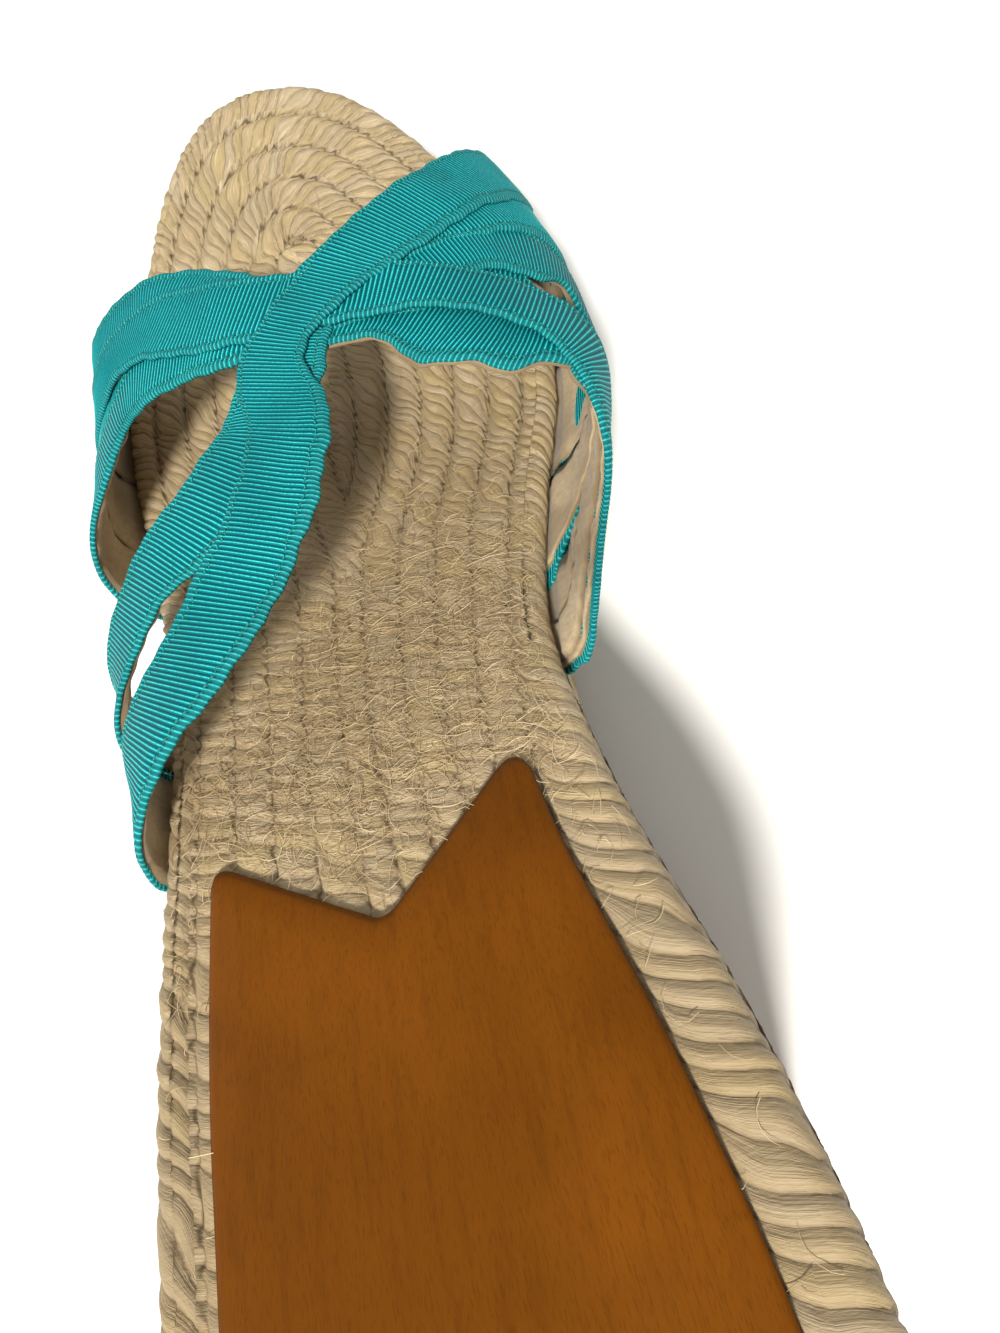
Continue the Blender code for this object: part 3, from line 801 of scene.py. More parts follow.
def jute_material(name, light, mid, dark):
    """Twisted jute: strands with fibres along them, broken creases darkened with painted shade, and felt
    where it is worn.
    """
    n = Nodes(name)
    pair = n.uv("strand")
    worn = n.attribute("worn")
    hairs = []
    for turn in (0.5, -0.7):
        stretch = n.add("Mapping", {"Vector": n.place(), "Rotation": (0, 0, turn), "Scale": (0.14, 1.0, 0.5)})
        hairs.append(n.noise(stretch, 2600.0, 2.0, 0.6))
    along_shoe = n.add("SeparateXYZ", {"Vector": n.place()}, output=1)
    noises = {
        "along_shoe": along_shoe,
        "calm": n.step(along_shoe, -10 * MM, -45 * MM, 1.0, 0.4),
        "side": n.edge(pair[0]),
        "fibres": n.pair_noise(pair, (17.0, 2.4), 0.0, 3.0, 0.65),
        "fine": n.pair_noise(pair, (9.0, 1.3), 2.0, 4.0, 0.7),
        "tufts": n.pair_noise(pair, (3.5, 1.6), 4.0),
        "felt": n.math("MAXIMUM", *hairs),
    }
    base = jute_colour(n, pair, worn, noises, light, mid, dark)
    lobe = n.math("SUBTRACT", 1.0, n.math("POWER", noises["side"], 2.2))
    height = n.times(lobe, n.step(worn, 0.0, 1.0, 0.8, 0.3))
    threads = n.times(n.plus(noises["fibres"], noises["fine"]), noises["calm"])
    height = n.plus(height, n.times(threads, 0.8))
    height = n.plus(height, n.times(noises["tufts"], 0.5))
    height = n.plus(height, n.times(noises["felt"], n.step(worn, 0.0, 1.0, 0.25, 1.2)))
    n.bump(height, 0.38 * MM)
    return n.set(Base_Color=base, Roughness=0.6, Specular_IOR_Level=0.4)


def fibre_material(name, light, dark):
    """Loose single jute fibres, each a little lighter or darker than the next."""
    n = Nodes(name)
    _, which = n.uv("strand")
    own = n.add("TexWhiteNoise", {"W": n.math("FLOOR", which)}, noise_dimensions="1D")
    return n.set(Base_Color=n.mix(own, dark, light), Roughness=0.6, Sheen_Weight=0.1)


def grosgrain_material(name, light, mid, dark):
    """Ribbed ribbon: a thin painted highlight on each rib, painted shade between the ribs, fine threads over
    it and duller edges.
    """
    n = Nodes(name)
    pair = n.uv("weave")
    along, across = pair
    rib = n.math("MULTIPLY_ADD", n.wave("COSINE", along), 0.5, 0.5)
    threads = n.math("MULTIPLY_ADD", n.wave("SINE", across, 34), 0.5, 0.5)
    flecks = n.pair_noise(pair, (0.9, 48.0), 0.0, 3.0, 0.6)
    patches = n.noise(n.place(), 70.0)
    edge = n.edge(across)
    # Painted shade in the valleys between ribs, and a painted highlight along each rib's top
    base = n.mix(n.step(rib, 0.0, 0.25), dark, mid)
    rib_highlight = n.times(n.step(rib, 0.78, 0.97), n.step(flecks, 0.36, 0.6, 0.45, 1.0))
    base = n.tint(base, rib_highlight, 0.95, light)
    base = n.tint(base, n.step(patches, 0.42, 0.75), 0.3, dark)
    base = n.tint(base, n.step(edge, 0.8, 0.9), 0.3, n.mix(0.4, mid, colour(70, 150, 140)))
    fuzz = n.noise(n.place(), 3200.0, 2.0)
    height = n.plus(rib, n.times(threads, 0.2))
    height = n.plus(height, n.times(flecks, 0.3))
    height = n.plus(height, n.times(fuzz, n.step(edge, 0.78, 0.92, 0.0, 1.6)))
    n.bump(height, 0.09 * MM)
    return n.set(Base_Color=base, Roughness=0.55, Specular_IOR_Level=0.09)


def thread_material(name, light, dark):
    """Sewing thread with two twisted plies, lighter on their crests and darker in the grooves between them as
    painted shade.
    """
    n = Nodes(name)
    along, across = n.uv("weave")
    ply = n.wave("SINE", n.plus(along, across), 2)
    n.bump(ply, 0.05 * MM)
    # Painted shade in the grooves between the plies, lighter on their crests
    base = n.mix(n.step(ply, -0.6, 1.0), dark, light)
    return n.set(Base_Color=base, Roughness=0.55, Specular_IOR_Level=0.15)


def lining_material(name, light, dark):
    """Suede-like backing of the ribbons, rubbed and a little stained, with dark cut edges."""
    n = Nodes(name)
    nap = n.noise(n.place(), 1100.0, 4.0, 0.7)
    stains = n.noise(n.place(), 70.0, 4.0)
    base = n.mix(n.step(stains, 0.35, 0.75), light, dark)
    base = n.tint(base, n.step(nap, 0.4, 0.65), 0.35, dark)
    base = n.tint(base, n.attribute("edge"), 0.75, colour(112, 90, 62))
    n.bump(n.plus(nap, stains), 0.12 * MM)
    return n.set(Base_Color=base, Roughness=0.9, Sheen_Weight=0.2)


def leather_material(name, light, mid, dark):
    """Smooth brown leather with fine short grain marks along the foot and a satin finish."""
    n = Nodes(name)
    stretch = n.add("Mapping", {"Vector": n.place(), "Scale": (1.0, 0.09, 0.3)})
    marks = n.step(n.noise(stretch, 6500.0, 2.0, 0.5), 0.5, 0.75)
    bands = n.noise(stretch, 900.0, 3.0, 0.6)
    pores = n.noise(n.place(), 5200.0, 2.0)
    patches = n.noise(n.place(), 30.0, 4.0)
    base = n.mix(n.step(patches, 0.32, 0.7), mid, light)
    base = n.tint(base, n.step(bands, 0.45, 0.75), 0.22, dark)
    base = n.tint(base, marks, 0.3, dark)
    n.bump(n.math("SUBTRACT", n.times(pores, 0.3), n.times(marks, 0.5)), 0.06 * MM, 0.6)
    gloss = {"Specular_IOR_Level": 0.16, "Specular_Tint": colour(255, 190, 110)}
    return n.set(Base_Color=base, Roughness=n.step(patches, 0.3, 0.7, 0.42, 0.54), **gloss)


def rubber_material(name, light, dark):
    """Matt natural rubber with a fine pebbled face."""
    n = Nodes(name)
    n.bump(n.noise(n.place(), 700.0, 2.0), 0.15 * MM)
    dust = n.noise(n.place(), 55.0, 4.0)
    return n.set(Base_Color=n.mix(n.step(dust, 0.35, 0.7), light, dark), Roughness=0.78)


# Rope


def row_noise(travel, total, seed):
    """A smooth, closed, seeded wander along a row, about one unit high."""
    random = np.random.default_rng(seed)
    value = np.zeros_like(travel)
    for wave, height in ROW_WAVES:
        turns = max(1, round(total / wave))
        value += height * np.sin(TURN * (turns * travel / total + random.random()))
    return value


def strand_lobe(phase):
    """Height of a strand across its width: round on top, creased at its edges."""
    side = np.abs(2 * (phase % 1) - 1)
    return (1 - side**2) ** 0.7


def strand_own(phase, row):
    """A fixed random number from 0 to 1 for each strand of a row."""
    mixed = np.sin(np.floor(phase) * 12.9898 + row * 78.233) * 43758.5453
    return mixed % 1


def lean_of(y, row):
    """How many strands apart a strand's two ends lie: most at the toe and in the outer row."""
    if row == 0:
        return np.full_like(y, EDGE_LEAN)
    midfoot = ease(y, 0, 30 * MM) * (1 - ease(y, 55 * MM, 85 * MM))
    return 0.75 + 1.35 * ease(y, -16 * MM, 40 * MM) + 1.6 * midfoot


def worn_at(x, y):
    """How worn and felted the footbed is, from 0 to 1: most behind the crossing, under the foot's arch."""
    arch = np.exp(-(((x - 9 * MM) / (24 * MM)) ** 2) - ((y - 2 * MM) / (26 * MM)) ** 2)
    waist = 0.45 * np.exp(-(((x + 8 * MM) / (20 * MM)) ** 2) - ((y + 22 * MM) / (18 * MM)) ** 2)
    return np.clip(arch + waist, 0, 1)


def strip_pairs(outer, inner):
    """Corner pairs of the faces between two rings, whose own pairs end with the first point again."""
    return np.stack([outer[:-1], outer[1:], inner[1:], inner[:-1]], 1)


# One ring of the coil: its loop in plan, its lift from the footbed's top, how far its relief points
# outwards, its row, its place across the row, and its relief where that is one number all round
Ring = namedtuple("Ring", "loop lift out row across relief", defaults=[None])


class Coil:
    """The coil of rope, whose rows are drawn in from the sole's outline to a middle line."""

    def __init__(self):
        """Lays out the rows, and the strands along each."""
        self.outline = spaced_outline(ROPE_SPACING)
        self.count = len(self.outline)
        self.inwards = inwards_of(self.outline)
        towards = spine_points(self.outline) - self.outline
        self.reach = np.linalg.norm(towards, axis=1)
        self.towards = towards / self.reach[:, None]
        self.pitch = np.minimum(ROW_PITCH, self.reach / (ROW_COUNT + CORE_ROWS))
        self.travels = [self.strand_travel(row) for row in range(ROW_COUNT + 1)]

    def drawn_in(self, depth):
        """The outline drawn in to the middle line by a depth at each point."""
        return self.outline + self.towards * depth[:, None]

    def strand_travel(self, row):
        """Distance round a row, counted shorter at the heel, where strands are longer."""
        middle = self.drawn_in(self.pitch * min(row + 0.5, ROW_COUNT))
        hops = np.linalg.norm(np.roll(middle, -1, 0) - middle, axis=1)
        longer = HEEL_STRAND_LENGTH / STRAND_LENGTH - 1
        return running(hops / (1 + longer * ease(-middle[:, 1], -30 * MM, 40 * MM)))

    def row_depth(self, rows):
        """How far in a number of rows reaches. The outer row swells on the heel's medial side."""
        x, y = self.outline.T
        swell = HEEL_ROW_SWELL * ease(-y, 5 * MM, 42 * MM) * (x > 0)
        swell = np.minimum(swell, 0.5 * (y + FOOTBED_LENGTH / 2))
        taper = np.clip((ROW_COUNT - rows) / (ROW_COUNT - 1), 0, 1)
        return self.pitch * rows + swell * np.minimum(rows, 1) * taper

    def rings(self):
        """Rings of points from the middle of the underside round the edge and in to the middle line."""
        level = np.zeros(self.count)
        half_edge = ROW_PITCH / 2
        half_thick = FOOTBED_THICKNESS / 2
        rings = []
        for loop in (self.drawn_in(self.reach), self.outline + self.inwards * half_edge):
            across = np.full(self.count, UNDERSIDE_ACROSS)
            rings.append(Ring(loop, level - FOOTBED_THICKNESS, 0.0, 0, across, 0.0))
        for angle in np.radians(np.linspace(EDGE_START_ANGLE, 90, EDGE_STEPS)):
            loop = self.outline + self.inwards * (half_edge - half_edge * math.cos(angle))
            lift = level - half_thick + half_thick * math.sin(angle)
            across = 0.5 - (math.pi / 2 - angle) / math.radians(90 - EDGE_START_ANGLE)
            rings.append(Ring(loop, lift, math.cos(angle), 0, np.full(self.count, across)))
        for step in range(ROW_STEPS // 2 + 1, ROW_STEPS * ROW_COUNT + 1):
            row = min(step // ROW_STEPS, ROW_COUNT - 1)
            across = np.full(self.count, step / ROW_STEPS - row)
            rings.append(Ring(self.drawn_in(self.row_depth(step / ROW_STEPS)), level, 0.0, row, across))
        core = self.reach - self.pitch * ROW_COUNT
        for step in range(1, CORE_STEPS + 1):
            depth = core * step / CORE_STEPS
            loop = self.drawn_in(self.pitch * ROW_COUNT + depth)
            rings.append(Ring(loop, level, 0.0, ROW_COUNT, depth / ROW_PITCH))
        # Both halves of the coil meet in the last ring, so it has one height
        rings[-1] = rings[-1]._replace(relief=-SPINE_CREASE)
        return rings

    def phase(self, row, across, y):
        """Phase of the strands round a row, with the first point again at the end."""
        travel = self.travels[row]
        total = travel[-1]
        strands = round(total / STRAND_LENGTH)
        wander = row_noise(travel, total, ROPE_SEED + row)
        lean = lean_of(np.append(y, y[0]), row)
        across = np.append(across, across[0])
        swing = across + STRAND_SWING * np.sin(TURN * across)
        return travel / total * strands + STRAND_WANDER * wander - lean * swing + FIRST_PHASE

    def pairs(self, ring, row):
        """Phase and level round a ring, counted in a row, with the first point again at the end."""
        across = ring.across if ring.row == row else ring.across - 1
        level = row + np.append(across, across[0])
        return np.stack([self.phase(row, across, ring.loop[:, 1]), level], -1)

    def relief(self, ring, worn):
        """Height of the strands round a ring, with a crease between rows. Worn rope is flatter."""
        if ring.relief is not None:
            return np.full(self.count, ring.relief)
        y = ring.loop[:, 1]
        phase = self.phase(ring.row, ring.across, y)[:-1]
        side = np.abs(2 * (ring.across % 1) - 1) if ring.row else np.clip(2 * ring.across - 1, 0, 1)
        relief = STRAND_RELIEF * (strand_lobe(phase) - 1) * (1 - 0.6 * side**4)
        relief += STRAND_VARIETY * (strand_own(phase, ring.row) - 0.5) * strand_lobe(phase)
        flatter = HEEL_FLATTER if ring.row else HEEL_EDGE_FLATTER
        relief *= (1 - 0.6 * worn) * (1 - flatter * ease(-y, 0, 45 * MM))
        return relief - ROW_CREASE * side**5 * (1 - 0.5 * worn)


def make_footbed(material):
    """The coil of rope, row by row, with its strands, and a round rope edge."""
    coil = Coil()
    rings = coil.rings()
    points, worn = [], []
    for ring in rings:
        x, y = ring.loop.T
        worn.append(worn_at(x, y))
        relief = coil.relief(ring, worn[-1])
        moved = ring.loop - coil.inwards * (0.8 * relief * ring.out)[:, None]
        height = footbed_top(y) + ring.lift + relief * math.sqrt(1 - ring.out**2)
        points.append(np.column_stack([moved, height]))
    pairs = []
    for outer, inner in zip(rings, rings[1:]):
        pairs.append(strip_pairs(coil.pairs(outer, inner.row), coil.pairs(inner, inner.row)))
    values = {"worn": np.concatenate(worn)}
    finish_piece(add_rings("footbed_rope", points, material, pairs, values), "jute", "footbed")


def make_wedge(material):
    """Level courses of twisted rope round the wedge, cut off under the footbed."""
    outline = spaced_outline(WEDGE_SPACING)
    count = len(outline)
    inwards = inwards_of(outline)
    middle = spine_points(outline)
    travel = running(np.linalg.norm(np.roll(outline, -1, 0) - outline, axis=1))
    total = travel[-1]
    strands = round(total / WEDGE_STRAND_LENGTH)
    courses = math.ceil(HEEL_HEIGHT / COURSE_HEIGHT)
    top_step = courses * COURSE_STEPS

    def base_at(y):
        return floor_rise(y) + OUTSOLE_THICKNESS + FIT_GAP

    def top_at(y):
        return footbed_top(y) - FOOTBED_THICKNESS - FIT_GAP

    def phase_of(course, up):
        lean = COURSE_LEAN if course % 2 else -COURSE_LEAN
        wander = row_noise(travel, total, WEDGE_SEED + course)
        return travel / total * strands + STRAND_WANDER * wander + lean * up + FIRST_PHASE

    def pairs_of(course, step):
        level = step / COURSE_STEPS
        return np.stack([phase_of(course, level - course), np.full(count + 1, level)], -1)

    rings = [np.column_stack([middle, base_at(middle[:, 1])])]
    for step in range(top_step + 1):
        course = min(step // COURSE_STEPS, courses - 1)
        up = step / COURSE_STEPS - course
        height = base_at(outline[:, 1]) + COURSE_HEIGHT * step / COURSE_STEPS
        side = abs(2 * up - 1)
        phase = phase_of(course, up)[:-1]
        sunk = COURSE_BULGE * (1 - math.sqrt(1 - 0.98 * side**2))
        sunk = sunk + WEDGE_STRAND_RELIEF * (1 - strand_lobe(phase)) * (1 - 0.5 * side**4)
        sunk = sunk - WEDGE_STRAND_VARIETY * (strand_own(phase, course) - 0.5)
        loop = outline + inwards * sunk[:, None]
        rings.append(np.column_stack([loop, np.minimum(height, top_at(outline[:, 1]))]))
    rings.append(np.column_stack([middle, top_at(middle[:, 1])]))
    steps = [0, *range(top_step + 1), top_step]
    pairs = []
    for low, high in zip(steps, steps[1:]):
        course = min(low // COURSE_STEPS, courses - 1)
        pairs.append(strip_pairs(pairs_of(course, low), pairs_of(course, high)))
    finish_piece(add_rings("wedge_rope", rings, material, pairs), "jute_wedge", "wedge")


# Tubes, for fibres and stitches


def tubes(paths, radii, sides):
    """Points, faces and corner pairs of open-ended thin tubes along paths of equal length.

    paths is an array of tubes by points by 3. A corner pair holds the share along the tube, and the
    tube's number plus the share round it.
    """
    tube_count, steps, _ = paths.shape
    along = unit(np.gradient(paths, axis=1))
    side = unit(np.cross(along, np.array(TUBE_ASIDE)))
    other = np.cross(along, side)
    turns = TURN * np.arange(sides) / sides
    ring = np.cos(turns)[:, None] * side[:, :, None] + np.sin(turns)[:, None] * other[:, :, None]
    points = paths[:, :, None] + ring * radii[:, :, None, None]
    one = grid_quads(steps, sides, wrap_columns=True)
    quads = (np.arange(tube_count)[:, None, None] * steps * sides + one).reshape(-1, 4)
    share = np.repeat(np.arange(steps) / (steps - 1), sides)
    turn = np.tile(np.arange(sides) / sides * 0.9, steps)
    number = np.arange(tube_count)[:, None]
    pair = np.stack([np.tile(share, (tube_count, 1)), number + turn], -1).reshape(-1, 2)
    return points.reshape(-1, 3), quads, pair[quads]


def fibre_chance(x, y, edge):
    """Chance of a fibre at a place, most where the rope is worn, behind that and along the edge."""
    waist = ease(-y, -30 * MM, 10 * MM) * ease(y, -60 * MM, -30 * MM)
    rim = ease(4 * MM - edge, 0, 3 * MM) * ease(-y, -40 * MM, 0) * ease(y, -55 * MM, -25 * MM)
    chance = 0.03 + 0.75 * worn_at(x, y) + 0.3 * waist + 0.4 * rim
    return 0.5 * chance * (1 - sock_cover(x, y)) * (edge > 1.5 * MM)


def make_fibres(material):
    """Loose hairs of jute lying on the footbed, most of them where it is worn and along its edge."""
    random = np.random.default_rng(FIBRE_SEED)
    y = random.uniform(-FIBRE_REACH, FIBRE_REACH, FIBRE_TRIES)
    medial, lateral = half_widths(y)
    x = -lateral + (medial + lateral) * random.random(len(y))
    chance = fibre_chance(x, y, np.minimum(medial - x, x + lateral))
    chosen = np.flatnonzero(random.random(len(y)) < chance)[:FIBRE_COUNT]
    x, y = x[chosen], y[chosen]
    number = len(x)
    heading = random.normal(0.3, 0.9, number) + math.pi * random.integers(0, 2, number)
    bend = random.normal(0, 1.6, number)
    length = random.gamma(3.0, 1.25 * MM, number).clip(1.5 * MM, 10 * MM)
    height = random.uniform(0.1, 1.0, number) ** 2 * MM
    share = np.linspace(0, 1, FIBRE_STEPS)
    turn = heading[:, None] + bend[:, None] * share
    step = length[:, None] / (FIBRE_STEPS - 1)
    px = x[:, None] + np.cumsum(np.cos(turn) * step, 1)
    py = y[:, None] + np.cumsum(np.sin(turn) * step, 1)
    medial, lateral = half_widths(py)
    inside = np.minimum(medial - px, px + lateral).min(1) > FIBRE_MARGIN
    inside &= np.abs(py).max(1) < FIBRE_END_LIMIT
    px, py, height, number = px[inside], py[inside], height[inside], inside.sum()
    pz = footbed_top(py) + FIBRE_GAP + np.sin(math.pi * share) * height[:, None]
    taper = np.tile(FIBRE_RADIUS * (1 - 0.7 * share**2), (number, 1))
    radii = taper * random.uniform(0.6, 1.2, (number, 1))
    points, quads, pair = tubes(np.stack([px, py, pz], -1), radii, FIBRE_SIDES)
    finish_piece(add_mesh("footbed_fibres", points, quads, material, pair, "strand"), "jute")


# Heel sock


def sock_front(x):
    """Y of the sock's front edge at x: two points and a notch, with soft corners."""
    across = column(SOCK_FRONT, "across") * BALL_WIDTH
    y = place(column(SOCK_FRONT, "share"))
    line = np.zeros_like(x)
    reach = np.linspace(-SOCK_FRONT_BLUR, SOCK_FRONT_BLUR, SOCK_FRONT_SAMPLES)
    for shift in reach:
        line += np.interp(x + shift, across, y) / len(reach)
    return line


def sock_edges(y):
    """Medial and lateral edge of the sock at y."""
    medial, lateral = half_widths(y)
    forward = ease(y, place(0.02), place(0.42))
    medial_margin = SOCK_HEEL_MARGIN + (SOCK_MARGIN_MEDIAL - SOCK_HEEL_MARGIN) * forward
    lateral_margin = SOCK_HEEL_MARGIN + (SOCK_MARGIN_LATERAL - SOCK_HEEL_MARGIN) * forward
    return medial - medial_margin, -(lateral - lateral_margin)


def sock_cover(x, y):
    """1 where the sock covers the footbed, else 0."""
    medial, lateral = sock_edges(y)
    return ((x < medial) & (x > lateral) & (y < sock_front(x))).astype(float)


def sock_front_line(u):
    """Y of the sock's front at shares across it, with rounded corners."""
    front = np.full(len(u), place(SOCK_FRONT_GUESS))
    for _ in range(SOCK_FRONT_ROUNDS):
        medial, lateral = sock_edges(front)
        front = 0.5 * front + 0.5 * sock_front(lateral + (medial - lateral) * u)
    medial, lateral = sock_edges(front)
    for gap in (u * (medial - lateral), (1 - u) * (medial - lateral)):
        inside = np.clip(SOCK_CORNER_RADIUS - gap, 0, SOCK_CORNER_RADIUS)
        front = front - (SOCK_CORNER_RADIUS - np.sqrt(SOCK_CORNER_RADIUS**2 - inside**2))
    return front


def make_sock(material):
    """The leather sock, lying on the rows of the coil."""
    heel = -FOOTBED_LENGTH / 2 + SOCK_MARGIN_LATERAL + SOCK_HEEL_INSET
    u = np.linspace(0, 1, SOCK_COLUMNS)
    front = sock_front_line(u)
    share = 1 - np.cos(np.linspace(0, math.pi / 2, SOCK_ROWS))
    y = heel + (front - heel) * share[:, None]
    round_heel = np.clip((y - heel) / SOCK_HEEL_ROUND, 0, 1)
    round_heel = np.sqrt(1 - (1 - round_heel) ** 2)
    medial, lateral = sock_edges(np.maximum(y, heel + SOCK_HEEL_ROUND))
    middle = (medial + lateral) / 2
    x = middle + (lateral + (medial - lateral) * u - middle) * round_heel
    edge = np.minimum(u, 1 - u) * (medial - lateral)
    edge = np.minimum(edge, (1 - share)[:, None] * (front - heel))
    pressed = 0.75 * MM * (1 - ease(edge, -2 * MM, 5 * MM)) + 0.3 * MM * (1 - ease(edge, 0, 0.7 * MM))
    top = footbed_top(y) + FIT_GAP + SOCK_THICKNESS - pressed
    faces = [np.stack([x, y, level], -1).reshape(-1, 3) for level in (top, top - SOCK_SHEET)]
    quads = strip(SOCK_ROWS, SOCK_COLUMNS)
    piece = add_mesh("heel_sock_leather", np.concatenate(faces), quads, material, merge=MERGE_DISTANCE)
    finish_piece(piece, "leather", "heel_sock")


# Outsole


def make_outsole(material):
    """Rubber sole with a rounded edge and shallow bars across its tread."""
    outline = sole_outline(OUTSOLE_HALF_POINTS)
    inwards = inwards_of(outline)
    middle = spine_points(outline)
    rings = []

    def add_ring(loop, lift):
        rings.append(np.column_stack([loop, floor_rise(loop[:, 1]) + lift]))

    for share in np.linspace(0, 1, OUTSOLE_RINGS):
        loop = middle + (outline + inwards * (OUTSOLE_INSET + OUTSOLE_ROUND) - middle) * share
        bars = TREAD_BAR_DEPTH * ease(np.cos(TURN * loop[:, 1] / TREAD_BAR_PITCH), 0.55, 0.85)
        add_ring(loop, bars * ease(1 - share, 0.0, 0.12))
    for angle in np.radians(np.linspace(0, 90, OUTSOLE_ROUND_STEPS)):
        loop = outline + inwards * (OUTSOLE_INSET + OUTSOLE_ROUND * (1 - math.sin(angle)))
        add_ring(loop, OUTSOLE_ROUND * (1 - math.cos(angle)))
    add_ring(outline + inwards * OUTSOLE_INSET, OUTSOLE_THICKNESS)
    add_ring(middle, OUTSOLE_THICKNESS)
    finish_piece(add_rings("outsole_rubber", rings, material), "rubber", "outsole")


# Ribbons


def ribbon_path(ribbon):
    """Y, girth and distance at close even steps along the ribbon's middle line, with a foot at each end."""
    first, last = ribbon.knots[0], ribbon.knots[-1]
    knots = [Knot(first.share, -FOOT_GIRTH), *ribbon.knots, Knot(last.share, 180 + FOOT_GIRTH)]
    y, girth = place(column(knots, "share")), column(knots, "girth")
    for reader in (smooth, np.interp):
        travel = running(np.linalg.norm(np.diff(last_point(y, girth), axis=0), axis=1))
        fine = np.linspace(0, travel[-1], PATH_SAMPLES)
        y, girth = reader(fine, travel, y), reader(fine, travel, girth)
    steps = round(travel[-1] / RIB_PITCH) * RIB_SAMPLES
    even = np.linspace(0, travel[-1], steps + 1)
    return np.interp(even, fine, y), np.interp(even, fine, girth), even


def ribbon_steps(ribbon, y, girth):
    """How far y and girth change for a metre across the ribbon, at each step along it."""
    _, normal, along, around = last_frame(y, girth)
    forward = unit(along * np.gradient(y)[:, None] + around * np.gradient(girth)[:, None])
    across = np.cross(normal, forward)
    length_y = np.linalg.norm(along, axis=1)
    length_g = np.linalg.norm(around, axis=1)
    step_y = (across * along).sum(1) / length_y**2
    step_g = (across * around).sum(1) / length_g**2
    foot = ease(1 - np.minimum(girth, 180 - girth) / FOOT_BLEND_GIRTH, 0, 1)
    spread = np.where(girth < 90, ribbon.lateral_foot, ribbon.medial_foot)
    step_y = step_y * (1 - foot) + np.sign(step_y[0]) * spread / length_y * foot
    return soften(step_y, STEP_BLUR), soften(step_g * (1 - foot), STEP_BLUR)


def along_ribbon(stops, share, field):
    """A column of one of the ribbon's tables, read along the ribbon."""
    if not stops:
        return np.zeros_like(share)
    return curve(stops, field, share)


def ribbon_place(ribbon, offsets, front_edges=FRONT_EDGES):
    """Points and normals of the last under the ribbon, the distance along it, and its lift off the last."""
    y, girth, travel = ribbon_path(ribbon)
    step_y, step_g = ribbon_steps(ribbon, y, girth)
    share = travel / travel[-1]
    half = RIBBON_WIDTH / 2
    slope = along_ribbon(RIB_SLANTS.get(ribbon.name), share, "slope")
    step_y = step_y + slope * np.gradient(y, travel)
    step_g = step_g + slope * np.gradient(girth, travel)
    random = np.random.default_rng(RIBBON_SEED + ribbon.layer)
    flutter = np.zeros((len(y), len(offsets)))
    across = np.broadcast_to(offsets, flutter.shape).copy()
    for sign, edges in ((-1, REAR_EDGES), (1, front_edges)):
        stops = edges.get(ribbon.name)
        near = np.clip(sign * offsets / half, 0, None)
        at_edge = share + sign * slope * half / travel[-1]
        wander = MM * along_ribbon(stops, at_edge, "drawn")
        for wave in TREMOR_WAVES:
            wander = wander + EDGE_TREMOR * np.sin(TURN * (travel / wave + random.random()))
        across -= sign * wander[:, None] * near**1.4
        flutter += MM * along_ribbon(stops, at_edge, "lifted")[:, None] * near**2
    y = y[:, None] + step_y[:, None] * across
    girth = girth[:, None] + step_g[:, None] * across
    point, normal, _, _ = last_frame(y, girth)
    normal = unit(np.apply_along_axis(soften, 0, normal, NORMAL_BLUR))
    nearest = np.minimum(girth, 180 - girth)
    up = ease(nearest, 0, LAYER_BLEND_GIRTH)
    layer = ribbon.layer + (ribbon.wall_layer - ribbon.layer) * ease(girth, *WALL_GIRTHS)
    at_foot = np.where(girth < 90, FOOT_LAYER_SHARE, WALL_LAYER_SHARE)
    lift = RIBBON_LAYER_STEP * layer * (at_foot + (1 - at_foot) * up)
    for wave, height in SLACK_WAVES:
        turn = TURN * (travel[:, None] / wave + random.random()) + SLACK_TWIST * offsets
        lift = lift + height * (1 + np.sin(turn)) * up
    return point, normal, travel, lift + flutter * ease(nearest, *FLUTTER_GIRTHS)


def ribbon_faces(rows, columns, backs):
    """Faces of a ribbon: its front, its back of fewer columns, and the walls between their edges."""
    number = rows * columns
    front = np.arange(number).reshape(rows, columns)
    back = number + np.arange(rows * backs).reshape(rows, backs)
    under = np.arange(columns) * backs // columns
    return np.concatenate([
        grid_quads(rows, columns),
        grid_quads(rows, backs, start=number),
        wall_quads(front[:, 0], back[:, 0]),
        wall_quads(front[:, -1], back[:, -1]),
        wall_quads(front[0], back[0, under]),
        wall_quads(front[-1], back[-1, under]),
    ])


